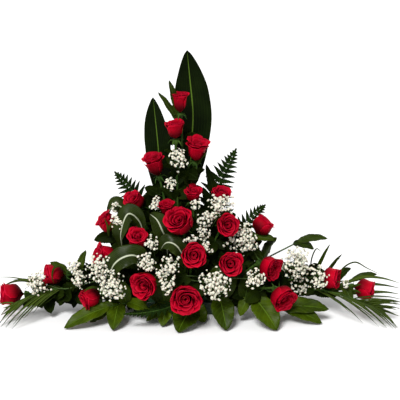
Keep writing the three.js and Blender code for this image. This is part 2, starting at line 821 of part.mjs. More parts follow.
// Leafy branches that cover the back, as the place and height that each one reaches
const BACK_BRANCHES = [
  { end: [-146, 92, 44], leaves: 2 },
  { end: [-50, 128, 46], leaves: 2 },
  { end: [58, 130, 46], leaves: 2 },
  { end: [148, 92, 42], leaves: 2 },
  { end: [-62, 78, 140], leaves: 3 },
  { end: [-2, 80, 206], leaves: 3 },
  { end: [62, 78, 144], leaves: 3 },
];
const BACK_MEET = [0, 40, 48];
const BACK_FORK = [4, 66, 96];
const BACK_LEAF = { length: 96, width: 58 };

// Leaves that grow on the rose stems
const ROSE_LEAVES = [
  { rose: 1, base: [177, 122, 14], tip: [169, 80, 8], width: 20 },
  { rose: 1, base: [177, 126, 14], tip: [158, 92, 12], width: 18 },
  { rose: 3, base: [196, 172, 4], tip: [207, 152, -22], width: 20 },
  { rose: 7, base: [142, 212, 4], tip: [126, 220, -20], width: 24 },
  { rose: 11, base: [255, 236, -2], tip: [276, 240, -24], width: 24 },
  { rose: 22, base: [66, 276, -38], tip: [50, 262, -44], width: 22 },
  { rose: 22, base: [76, 279, -36], tip: [86, 250, -30], width: 22 },
  { rose: 23, base: [40, 292, -36], tip: [28, 276, -34], width: 26 },
  { rose: 23, base: [46, 292, -36], tip: [36, 303, -30], width: 24 },
  { rose: 24, base: [306, 282, -40], tip: [312, 268, -58], width: 24 },
  { rose: 25, base: [344, 288, -38], tip: [352, 302, -66], width: 24 },
];

// Leaves that grow on the rose stems behind the blooms and fill the gaps between them
const FILLER_LEAVES = [
  { rose: 1, base: [181, 203, 18], tip: [167, 184, 4], width: 30 },
  { rose: 2, base: [178, 196, 2], tip: [203, 188, 14], width: 32 },
  { rose: 7, base: [144, 216, 18], tip: [150, 192, 14], width: 28 },
  { rose: 1, base: [181, 229, 14], tip: [186, 206, 0], width: 30 },
  { rose: 7, base: [145, 223, 18], tip: [122, 212, 6], width: 32 },
  { rose: 12, base: [121, 235, -5], tip: [94, 240, -6], width: 32 },
  { rose: 14, base: [127, 262, -38], tip: [122, 236, -26], width: 38 },
  { rose: 14, base: [142, 271, -18], tip: [127, 256, -46], width: 38 },
  { rose: 13, base: [150, 258, -41], tip: [155, 232, -36], width: 36 },
  { rose: 9, base: [177, 264, -34], tip: [174, 243, -56], width: 36 },
  { rose: 15, base: [193, 259, -82], tip: [208, 240, -42], width: 38 },
  { rose: 6, base: [214, 226, 18], tip: [236, 214, 4], width: 34 },
  { rose: 11, base: [238, 247, -5], tip: [250, 224, -6], width: 34 },
  { rose: 11, base: [230, 253, -3], tip: [254, 250, -30], width: 39 },
  { rose: 5, base: [194, 227, 4], tip: [216, 216, -12], width: 32 },
  { rose: 22, base: [104, 283, -27], tip: [90, 264, -44], width: 36 },
  { rose: 21, base: [128, 292, -50], tip: [122, 274, -76], width: 39 },
  { rose: 9, base: [176, 268, -31], tip: [160, 264, -76], width: 39 },
  { rose: 9, base: [175, 272, -28], tip: [178, 278, -92], width: 39 },
  { rose: 15, base: [189, 279, -55], tip: [211, 274, -78], width: 39 },
  { rose: 18, base: [233, 290, -38], tip: [247, 278, -74], width: 39 },
  { rose: 24, base: [267, 283, -29], tip: [288, 280, -66], width: 39 },
  { rose: 18, base: [242, 290, -51], tip: [264, 292, -86], width: 39 },
  { rose: 16, base: [206, 280, -58], tip: [213, 302, -96], width: 38 },
  { rose: 25, base: [307, 286, -27], tip: [302, 264, -40], width: 36 },
  { rose: 25, base: [292, 286, -27], tip: [314, 292, -66], width: 38 },
  { rose: 23, base: [65, 294, -33], tip: [70, 300, -92], width: 38 },
  { rose: 23, base: [55, 294, -33], tip: [34, 280, -10], width: 30 },
  { rose: 21, base: [124, 292, -58], tip: [98, 288, -76], width: 38 },
  { rose: 25, base: [312, 286, -27], tip: [334, 296, -60], width: 34 },
];
const FILLER_FACE = [0, -1, 0.3];

// Sprays of baby's breath: heads that share a stem in the foam, each with the pixel and depth of
// its middle and its radius in the same pixels
const SPRAYS = [
  {
    name: 'babys_breath_crown',
    meet: [-16, 28, 44],
    heads: [[179, 160, -6, 11], [172, 184, -2, 7]],
  },
  {
    name: 'babys_breath_upper_left',
    meet: [-46, 20, 44],
    heads: [[157, 205, -14, 8], [118, 222, -34, 7]],
  },
  {
    name: 'babys_breath_upper_right',
    meet: [50, 24, 44],
    heads: [[195, 204, -28, 7], [221, 208, -30, 14], [241, 240, -34, 16]],
  },
  {
    name: 'babys_breath_centre',
    meet: [0, 8, 48],
    heads: [[203, 233, -60, 7], [190, 238, -86, 7], [205, 219, -34, 8]],
  },
  {
    name: 'babys_breath_left_middle',
    meet: [-44, -8, 48],
    heads: [[151, 244, -84, 8], [147, 264, -112, 10]],
  },
  {
    name: 'babys_breath_front',
    meet: [-8, -18, 44],
    heads: [[171, 266, -124, 10], [168, 286, -150, 9], [214, 284, -146, 15], [255, 279, -118, 9]],
  },
  {
    name: 'babys_breath_right',
    meet: [66, 6, 44],
    heads: [[294, 264, -60, 16], [317, 277, -58, 12], [300, 286, -44, 9]],
  },
  {
    name: 'babys_breath_left',
    meet: [-70, 2, 44],
    heads: [
      [101, 268, -92, 14],
      [113, 286, -128, 14],
      [81, 280, -74, 9],
      [76, 268, -50, 8],
      [40, 283, -58, 12],
    ],
  },
];
const BACK_HEADS = [
  [[-70, 120, 100], 30],
  [[50, 124, 110], 30],
  [[-10, 110, 190], 28],
];

// The stalk of a long leaf or frond, from its root in the foam to where its blade starts
function stalkLine(root, start, next, radius, owner) {
  const along = next.clone().sub(start).normalize();
  const approach = start.clone().addScaledVector(along, -20);
  const points = [root, approach.clone().lerp(root, 0.5), approach, start];
  const beyond = start.clone().addScaledVector(along, 10);
  return stemLine(points, radius, [owner], { beyond });
}

// How long the leaflets are along a frond, as a share of its reach
const TAPERS = {
  fern: (v) => Math.max(0, 1 - v) ** 0.9,
  palm: (v) => Math.min(1, 0.6 + 2 * v) * Math.max(0, 1 - v) ** 0.5,
};
// How far the leaflets hang at their tips on the near side and on the far one, where they may rise
const DROOP = { fern: [0.12, 0.12], palm: [0.5, -0.3] };

// A frond's blade, cut to the rib between its leaflets
function frondSurface({ curve, reach, pairs, sweep, face, kind }) {
  const taper = TAPERS[kind];
  const upper = vector(...face);
  const rows = 2 * pairs;
  return (u, v) => {
    const along = THREE.MathUtils.clamp(v, 0, 1);
    const row = along * rows;
    const leaflet = Math.max(0, 1 - Math.abs((row % 2) - 1));
    const middle = curve.getPoint(along);
    const tangent = curve.getTangent(along);
    const side = tangent.clone().cross(upper).normalize();
    const rib = 2.2 * Math.min(1, along * rows, (1 - along) * rows);
    const out = rib + (reach * taper(along) - rib) * leaflet ** 3;
    const forward = sweep * out * Math.abs(u) * leaflet;
    const point = middle.addScaledVector(side, u * out).addScaledVector(tangent, forward);
    const droop = DROOP[kind][side.y * u > 0 ? 1 : 0];
    point.z = Math.max(point.z - droop * out * Math.abs(u) * leaflet, LOWEST);
    return point;
  };
}

// Marks a blade as something that the stems and florets placed after it keep clear of
function markBlade(surface, length, width, owner) {
  const rows = Math.ceil(length / BLADE_CLEAR);
  const columns = Math.ceil(width / (2 * BLADE_CLEAR));
  for (let row = 1; row < rows; row += 1) {
    for (let column = -columns; column <= columns; column += 1) {
      keepClear.push({ middle: surface(column / (columns + 0.5), row / rows), radius: 3, owner });
    }
  }
}

function smallLeaf({ base, tip, width, face = [0, -0.55, 0.85], bow = 10 }, extra) {
  const curve = bowed(base, tip, bow);
  const across = width + 2 * extra;
  return leafSurface({ curve, width: across, face: vector(...face), outline: ovate, fold: 0.22, wave: 2 });
}

function leafBlade(leaf, extra) {
  const rows = leaf.width < WIDE_LEAF ? 2 : 3;
  return solidOf(blade(smallLeaf(leaf, extra), 2, rows, LEAF_THICKNESS + 2 * extra));
}

// Where a leaf starts: inside the stem that it grows on
function leafBase(line, near, tip) {
  const spot = nearestOn(line, near);
  return spot.addScaledVector(tip.clone().sub(spot).normalize(), -LEAF_SUNK);
}

function roseLeaf(leaf) {
  const tip = place(leaf.tip);
  const base = leafBase(roseLines.get(leaf.rose), place(leaf.base), tip);
  const owner = ROSE_BUNCHES.find(({ roses }) => roses.includes(leaf.rose)).name;
  return { ...leaf, base, tip, bow: ROSE_LEAF_BOW, owner };
}

const roseLeaves = ROSE_LEAVES.map(roseLeaf);
for (const leaf of roseLeaves) {
  markBlade(smallLeaf(leaf, 0), leaf.base.distanceTo(leaf.tip), leaf.width, leaf.owner);
}
for (const leaf of FILLER_LEAVES) roseLeaves.push(roseLeaf({ ...leaf, face: FILLER_FACE }));

// A head of baby's breath: where its stalks start and where each floret sits
function headFlorets(middle, radius, outward, seed) {
  const draw = dice(seed);
  const count = 3 + Math.round(radius ** 2 / 700);
  const root = middle.clone().addScaledVector(outward, -0.75 * radius);
  const florets = [];
  for (let i = 0; i < count; i += 1) {
    const polar = Math.acos(1 - ((i + 0.4) / count) * 0.92);
    const turn = i * 2.4 + draw();
    const reach = radius * (1.15 + 0.45 * draw());
    const local = vector(
      Math.sin(polar) * Math.cos(turn),
      Math.cos(polar),
      Math.sin(polar) * Math.sin(turn),
    ).multiplyScalar(reach);
    const aligned = local.applyQuaternion(
      new THREE.Quaternion().setFromUnitVectors(UP, outward),
    );
    florets.push(root.clone().add(aligned));
  }
  return { root, florets };
}

// Whether a floret and its stalk keep clear of blooms and of other stems
function standsFree(from, to, owner) {
  const segment = new THREE.Line3(from, to);
  const near = vector(0, 0, 0);
  return to.z > LOWEST + 2 * FLORET && keepClear.every((ball) => {
    if (ball.owner === owner) return true;
    segment.closestPointToPoint(ball.middle, true, near);
    const stalkFree = near.distanceTo(ball.middle) > ball.radius + STALK;
    return stalkFree && to.distanceTo(ball.middle) > ball.radius + FLORET;
  });
}

// A stalk that swells into its floret, lathed with few sides
function floretSolid(from, to, extra) {
  const run = to.clone().sub(from);
  const length = run.length();
  const bulb = FLORET + extra * 2;
  const shape = new THREE.LatheGeometry(
    [
      new THREE.Vector2(0, 0),
      new THREE.Vector2(STALK + extra * 2, 0.5),
      new THREE.Vector2(STALK + extra * 2, length - FLORET * 0.9),
      new THREE.Vector2(bulb, length),
      new THREE.Vector2(0, length + FLORET * 0.7 + extra * 2),
    ],
    3,
  );
  return solidOf(aim(shape, from, run));
}

const sprayPlans = SPRAYS.map((spray, index) => ({
  name: spray.name,
  meet: vector(...spray.meet),
  heads: spray.heads.map(([x, y, depth, radius]) => ({
    middle: place([x, y, depth]),
    radius: radius * PIXEL,
  })),
  seed: index * 31 + 5,
}));
sprayPlans.push({
  name: 'babys_breath_back',
  meet: vector(10, 46, 44),
  heads: BACK_HEADS.map(([middle, radius]) => ({ middle: vector(...middle), radius })),
  seed: 400,
});

// A point moved out of whatever stands there
function pushedFree(point, reach, owner) {
  for (let round = 0; round < 12; round += 1) {
    for (const ball of keepClear) {
      if (ball.owner === owner) continue;
      const away = point.clone().sub(ball.middle);
      const short = ball.radius + reach - away.length();
      if (short > 0) point.addScaledVector(away.normalize(), short);
    }
  }
  return point;
}

// A spray: its lead stem runs from the foam to its first head, and the others fork from it
function planSpray(plan) {
  plan.stems = [];
  plan.stalks = [];
  plan.heads.forEach(({ middle, radius }, i) => {
    const outward = middle.clone().sub(plan.meet).normalize();
    outward.add(vector(0, Math.sign(middle.y - plan.meet.y) * 0.7, 0.1)).normalize();
    const { root, florets } = headFlorets(middle, radius, outward, plan.seed + i);
    pushedFree(root, SPRAY_STEM + 1, plan.name);
    const approach = root.clone().addScaledVector(outward, -14);
    const lead = i > 0 && plan.stems[0];
    const from = lead ? travelled(lead, lengthOf(lead) * (0.4 + 0.09 * i)) : plan.meet;
    const points = [from, approach.clone().lerp(from, 0.5), approach, root];
    const stem = stemLine(points, SPRAY_STEM, [plan.name]);
    const backwards = stem.slice().reverse();
    plan.stems.push(stem);
    florets.forEach((floret, k) => {
      const start = travelled(backwards, STALK_STEP * (k + 1));
      pushedFree(floret, FLORET + 0.5, plan.name);
      if (!standsFree(start, floret, plan.name)) return;
      plan.stalks.push([start, floret]);
      keepClear.push({ middle: floret, radius: FLORET + 1, owner: plan.name });
      for (const share of [0.2, 0.4, 0.6, 0.8]) {
        keepClear.push({ middle: start.clone().lerp(floret, share), radius: 2, owner: plan.name });
      }
    });
  });
}

function spraySolid(plan, extra) {
  const parts = plan.stems.map((line) => solidOf(tube(line, SPRAY_STEM + extra * 1.5, 3)));
  for (const [from, to] of plan.stalks) parts.push(floretSolid(from, to, extra));
  return fuse(parts);
}

// Branches that meet in the foam: their lines, and the leaves on each
function planBranches({ name, meet, branches }) {
  const start = vector(...meet);
  const leaves = [];
  const lines = branches.map((branch) => {
    const points = branch.line.map(place);
    const between = points[0].clone().lerp(start, 0.5);
    const free = stemLine([start, between, ...points], BRANCH_STEM, [name], { loose: true });
    for (const leaf of branch.leaves) {
      const tip = pointOf(leaf.tip);
      leaves.push({ ...leaf, base: leafBase(free, place(leaf.base), tip), tip });
    }
    return free;
  });
  return { name, lines, leaves };
}

function planBack() {
  const owner = 'salal_back';
  const fork = vector(...BACK_FORK);
  const leaves = [];
  const trunk = stemLine([vector(...BACK_MEET), fork], BRANCH_STEM, [owner]);
  const lines = BACK_BRANCHES.map((branch) => {
    const end = vector(...branch.end);
    const between = end.clone().lerp(fork, 0.5).add(vector(0, 0, 14));
    const free = stemLine([fork, between, end], BRANCH_STEM, [owner], { loose: true });
    const length = lengthOf(free);
    for (let i = 0; i < branch.leaves; i += 1) {
      const distance = length * (1 - (0.62 * i) / branch.leaves);
      const base = travelled(free, Math.min(distance, length - LEAF_SUNK));
      const along = base.clone().sub(travelled(free, distance - 5)).normalize();
      const side = along.clone().cross(vector(0, 0, 1)).normalize();
      const sign = i === 0 ? 0 : (-1) ** i;
      const run = along.multiplyScalar(0.75).addScaledVector(side, 0.9 * sign);
      run.add(vector(0, 0.3, branch.end[2] > 100 ? 0.1 : -0.2)).normalize();
      const tip = base.clone().addScaledVector(run, BACK_LEAF.length * (1 - 0.06 * i));
      tip.z = Math.max(tip.z, LOWEST + 1);
      const face = [0, 0.6, 0.8];
      leaves.push({ base, tip, width: BACK_LEAF.width, face, bow: 8 });
    }
    return free;
  });
  return { name: owner, lines: [trunk, ...lines], leaves };
}

// The blade of a long leaf, folded a little along the middle
function longLeafSurface({ curve, width, face }, extra) {
  return leafSurface({
    curve,
    width: width + 2 * extra,
    face: vector(...face),
    outline: lance,
    fold: 0.16,
    wave: 3,
    waves: 1.5,
  });
}

function plannedBlade(growth, stalkRadius, surfaceOf) {
  const points = growth.line.map(place);
  const curve = new THREE.CatmullRomCurve3(points);
  const stalk = stalkLine(vector(...growth.root), points[0], points[1], stalkRadius, growth.name);
  const made = { ...growth, curve, stalk };
  markBlade(surfaceOf(made, 0), curve.getLength(), growth.width ?? growth.reach, growth.name);
  return made;
}

const leafLines = LONG_LEAVES.map((leaf) => plannedBlade(leaf, BRANCH_STEM, longLeafSurface));
const frondLines = FRONDS.map((frond) => plannedBlade(frond, frond.stem, frondSurface));
const branchPlans = [...BRANCH_GROUPS.map(planBranches), planBack()];
sprayPlans.forEach(planSpray);

function longLeafBlade(leaf, extra) {
  const surface = longLeafSurface(leaf, extra);
  return solidOf(blade(surface, 2, leaf.rows, LEAF_THICKNESS + 2 * extra));
}

function frondBlade(frond, extra) {
  return solidOf(blade(frondSurface(frond), 2, 2 * frond.pairs, FROND_THICKNESS + 2 * extra));
}

// The part's nodes: what stands in the foam or on a stem, and the blades that are cut round it
const growths = [];

function addGrowth(name, makeFrame, bladeMakers, color, roughness) {
  const both = (make) => ({ solid: make(0), grown: make(GAP) });
  const gives = name.startsWith('babys_breath');
  const blades = bladeMakers.map(both);
  growths.push({ name, frame: both(makeFrame), blades, color, roughness, gives });
}

const stems = (lines, radius) => (extra) => (
  fuse(lines.map((line) => solidOf(tube(line, radius + extra * 1.45, 4))))
);

for (const bunch of ROSE_BUNCHES) {
  const leaves = roseLeaves.filter(({ owner }) => owner === bunch.name);
  const makers = leaves.map((leaf) => (extra) => leafBlade(leaf, extra));
  addGrowth(bunch.name, (extra) => roseBunch(bunch, extra), makers, GREEN.stem);
}
for (const rose of ROSES) {
  const bloom = placedSolid(bloomSolid(rose), rose.foot, rose.axis);
  const envelope = solidOf(aim(bloomEnvelope(rose), rose.foot, rose.axis));
  const make = (extra) => (extra > 0 ? envelope : bloom);
  addGrowth(rose.name, make, [], 0xb80d1e, 0.55);
}
for (const plan of sprayPlans) {
  addGrowth(plan.name, (extra) => spraySolid(plan, extra), [], 0xe9e4d2, 0.8);
}
for (const leaf of leafLines) {
  const make = (extra) => longLeafBlade(leaf, extra);
  addGrowth(leaf.name, stems([leaf.stalk], BRANCH_STEM), [make], GREEN.dark, 0.45);
}
for (const frond of frondLines) {
  const make = (extra) => frondBlade(frond, extra);
  addGrowth(frond.name, stems([frond.stalk], frond.stem), [make], GREEN.dark);
}
for (const plan of branchPlans) {
  const makers = plan.leaves.map((leaf) => (extra) => leafBlade(leaf, extra));
  addGrowth(plan.name, stems(plan.lines, BRANCH_STEM), makers, GREEN.mid, 0.4);
}

function boxesMeet(first, second) {
  return [0, 1, 2].every((k) => first.max[k] > second.min[k] && second.max[k] > first.min[k]);
}

function cutClear(solid, obstacles) {
  const box = solid.boundingBox();
  return obstacles
    .filter((other) => boxesMeet(box, other.boundingBox()))
    .reduce((left, other) => left.subtract(other), solid);
}

// Blades give way to every other stem, bloom and floret, and to the blades placed before them
const standing = [
  block(FOAM_LENGTH + 2 * GAP, FOAM_DEPTH + 2 * GAP, FOAM_CORNER, 0, FOAM_HEIGHT + TRAY_FLOOR + 2 * GAP),
  block(TRAY_LENGTH + 2, TRAY_DEPTH + 2, TRAY_CORNER, 0, TRAY_HEIGHT + GAP),
];
for (const growth of growths) {
  const frames = growths.filter((other) => other !== growth).map((other) => other.frame.grown);
  const cut = growth.blades.map(({ solid }) => cutClear(solid, [...frames, ...standing]));
  growth.solid = settled(fuse([growth.frame.solid, ...cut]));
  for (const { grown } of growth.blades) standing.push(grown);
}
for (const growth of growths.filter(({ gives }) => gives)) {
  const frames = growths.filter((other) => other !== growth && !other.gave);
  growth.solid = settled(cutClear(growth.frame.solid, frames.map((other) => other.frame.grown)));
  growth.gave = true;
}
const holes = fuse(growths.map((growth) => growth.frame.grown));
const foam = settled(foamSolid().subtract(holes));

const finished = new THREE.Group();

function addMesh(name, solid, color, roughness = 0.6) {
  const material = new THREE.MeshStandardMaterial({ color, roughness, metalness: 0 });
  const mesh = new THREE.Mesh(geometryOf(solid), material);
  mesh.name = name;
  finished.add(mesh);
}

addMesh('tray', traySolid(), 0x1c2a1c, 0.5);
addMesh('foam', foam, 0x2f5a35, 0.9);
for (const { name, solid, color, roughness } of growths) addMesh(name, solid, color, roughness);

export default finished;
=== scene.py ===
import math
import random

import bmesh
import bpy
from mathutils import Matrix, Quaternion, Vector
from mathutils.geometry import intersect_point_line


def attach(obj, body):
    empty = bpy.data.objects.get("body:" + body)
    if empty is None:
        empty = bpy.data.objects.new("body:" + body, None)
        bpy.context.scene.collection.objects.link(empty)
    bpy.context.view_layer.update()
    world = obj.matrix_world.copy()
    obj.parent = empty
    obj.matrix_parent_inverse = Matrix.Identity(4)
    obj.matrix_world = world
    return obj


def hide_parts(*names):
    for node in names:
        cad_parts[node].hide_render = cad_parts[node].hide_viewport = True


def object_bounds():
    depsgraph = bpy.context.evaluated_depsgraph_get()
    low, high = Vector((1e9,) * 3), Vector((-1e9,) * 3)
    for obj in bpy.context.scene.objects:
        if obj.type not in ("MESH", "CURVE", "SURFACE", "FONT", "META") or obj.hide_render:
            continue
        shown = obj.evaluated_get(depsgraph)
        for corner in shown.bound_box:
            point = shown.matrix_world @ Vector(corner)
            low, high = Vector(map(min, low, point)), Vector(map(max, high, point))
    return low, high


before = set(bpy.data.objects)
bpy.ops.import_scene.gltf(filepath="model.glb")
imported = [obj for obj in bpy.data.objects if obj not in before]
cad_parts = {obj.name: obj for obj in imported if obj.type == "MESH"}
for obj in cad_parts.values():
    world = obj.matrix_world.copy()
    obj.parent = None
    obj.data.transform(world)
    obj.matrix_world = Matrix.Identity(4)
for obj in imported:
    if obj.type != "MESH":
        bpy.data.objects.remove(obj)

bl_info = {
    "name": "Pyramid rose centerpiece",
    "version": (1, 0, 0),
    "blender": (4, 5, 0),
    "location": "3D View > Sidebar > Centerpiece",
    "description": "Red roses, baby's breath and mixed foliage in a block of wet foam",
    "category": "Add Mesh",
}

CAD_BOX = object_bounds()
MM = 0.001
# No leaf lies lower than this
LOWEST = 4 * MM

# The view that the places are read in: a square frame, seen from a little above. A place is given
# as the pixel where it is seen and its depth, or as millimetres in the room where that is said.
PIXEL = 2.3 * MM
FRAME_PIXELS = 400
FRAME_MIDDLE = FRAME_PIXELS / 2
SENSOR = 36
VIEW_DISTANCE = 2.6
VIEW_TILT = math.radians(16)
SINE, COSINE = math.sin(VIEW_TILT), math.cos(VIEW_TILT)
VIEW_TARGET = Vector((0.038, 0, 0.259))
VIEW_START = VIEW_TARGET + VIEW_DISTANCE * Vector((0, -COSINE, SINE))

# The sides that leaves face: up and forward, forward and a little up, and almost straight forward
SKIRT_FACE = (0, -0.55, 0.85)
FILLER_FACE = (0, -1, 0.3)
FRONT_FACE = (0, -1, 0.2)

# Roses: where the middle of the bloom is seen, its depth, how it faces as (right, up, forward),
# its greatest diameter, its height and how far it is open
ROSES = [
    (180, 102.5, 15, (0, 1, 0.1), 38, 52, 0.1),
    (175, 130, -6, (-0.05, 1, 0.2), 46, 46, 0.3),
    (197, 150, 0, (0.15, 1, 0.25), 54, 60, 0.5),
    (155, 165, 5, (-0.3, 1, 0.2), 50, 58, 0.4),
    (193, 195, -12, (0, 1, 0.5), 42, 40, 0.3),
    (221, 196, 10, (0.1, 1, 0.4), 50, 38, 0.4),
    (135, 202, 5, (-0.5, 0.8, 0.45), 47, 46, 0.3),
    (167, 209, -22, (-0.1, 1, 0.3), 38, 40, 0.3),
    (180, 222, -78, (-0.35, 0.75, 0.7), 66, 54, 0.6),
    (227, 225, -55, (0.3, 0.3, 0.9), 52, 44, 0.6),
    (262, 226, -5, (0.6, 0.75, -0.1), 50, 48, 0.4),
    (108, 223, -12, (-0.65, 0.7, 0.2), 46, 48, 0.3),
    (138, 239, -70, (-0.1, 0.8, 0.6), 46, 46, 0.5),
    (106, 256, -62, (-0.85, 0.3, 0.4), 50, 54, 0.3),
    (194, 255, -118, (0.05, 0.3, 0.95), 56, 46, 0.7),
    (230, 264, -112, (0.2, 0.35, 0.9), 56, 46, 0.8),
    (269, 267, -88, (0.7, -0.1, 0.65), 54, 48, 0.6),
    (282, 297, -126, (0.5, -0.35, 0.8), 60, 50, 0.7),
    (186, 299, -162, (0.05, 0.05, 1), 72, 56, 1),
    (145, 285, -136, (-0.45, 0.1, 0.85), 61, 52, 0.7),
    (91, 297, -110, (-0.8, -0.25, 0.5), 44, 50, 0.2),
    (55, 274, -40, (-0.95, 0.1, 0.25), 48, 52, 0.2),
    (12, 294, -40, (-1, 0.05, 0.15), 52, 58, 0.2),
    (330, 278, -45, (0.95, 0, 0.3), 52, 44, 0.3),
    (364, 289, -42, (0.95, -0.1, 0.3), 50, 50, 0.2),
]

# Rose stems that share a place in the foam, by the number of their rose
ROSE_BUNCHES = {
    "rose_stems_crown": [1, 2, 3, 4],
    "rose_stems_right_shoulder": [5, 6, 10, 11],
    "rose_stems_left_shoulder": [7, 12, 14],
    "rose_stems_centre": [8, 9, 13],
    "rose_stems_front": [15, 16, 19, 20],
    "rose_stems_left": [21, 22, 23],
    "rose_stems_right": [17, 18, 24, 25],
}

# Leaves that grow on the rose stems: rose, where the leaf starts, its tip and its width
ROSE_LEAVES = [
    (1, (177, 122, 14), (169, 80, 8), 20),
    (1, (177, 126, 14), (158, 92, 12), 18),
    (3, (196, 172, 4), (207, 152, -22), 20),
    (7, (142, 212, 4), (126, 220, -20), 24),
    (11, (255, 236, -2), (276, 240, -24), 24),
    (11, (249, 244, 2), (263, 266, -16), 34),
    (11, (247, 247, 4), (252, 268, -10), 34),
    (7, (145, 219, 10), (118, 232, 6), 30),
    (22, (66, 276, -38), (50, 262, -44), 22),
    (22, (76, 279, -36), (86, 250, -30), 22),
    (23, (40, 292, -36), (28, 276, -34), 26),
    (23, (46, 292, -36), (36, 303, -30), 24),
    (24, (306, 282, -40), (312, 268, -58), 24),
    (25, (344, 288, -38), (352, 302, -66), 24),
]

# Leaves that fill the gaps behind the blooms, in the same columns, painted dark as shade
FILLER_LEAVES = [
    (1, (181, 203, 18), (167, 184, 4), 30),
    (2, (178, 196, 2), (203, 188, 14), 32),
    (7, (144, 216, 18), (150, 192, 14), 28),
    (1, (181, 229, 14), (186, 206, 0), 30),
    (7, (145, 223, 18), (122, 212, 6), 32),
    (12, (121, 235, -5), (94, 240, -6), 32),
    (14, (127, 262, -38), (122, 236, -26), 38),
    (14, (142, 271, -18), (127, 256, -46), 38),
    (13, (150, 258, -41), (155, 232, -36), 36),
    (9, (177, 264, -34), (174, 243, -56), 36),
    (15, (193, 259, -82), (208, 240, -42), 38),
    (6, (214, 226, 18), (236, 214, 4), 34),
    (11, (238, 247, -5), (250, 224, -6), 34),
    (11, (230, 253, -3), (254, 250, -30), 39),
    (5, (194, 227, 4), (216, 216, -12), 32),
    (22, (104, 283, -27), (90, 264, -44), 36),
    (21, (128, 292, -50), (122, 274, -76), 39),
    (9, (176, 268, -31), (160, 264, -76), 39),
    (9, (175, 272, -28), (178, 278, -92), 39),
    (15, (189, 279, -55), (211, 274, -78), 39),
    (18, (233, 290, -38), (247, 278, -74), 39),
    (24, (267, 283, -29), (288, 280, -66), 39),
    (18, (242, 290, -51), (264, 292, -86), 39),
    (16, (206, 280, -58), (213, 302, -96), 38),
    (25, (307, 286, -27), (302, 264, -40), 36),
    (25, (292, 286, -27), (314, 292, -66), 38),
    (23, (65, 294, -33), (70, 300, -92), 38),
    (23, (55, 294, -33), (34, 280, -10), 30),
    (21, (124, 292, -58), (98, 288, -76), 38),
    (25, (312, 286, -27), (334, 296, -60), 34),
    (6, (213, 222, 20), (203, 187, 16), 26),
    (6, (214, 208, 22), (206, 164, 20), 22),
]


def fan(start, *ends):
    """Straight stems from one place to several."""
    return [[start, end] for end in ends]


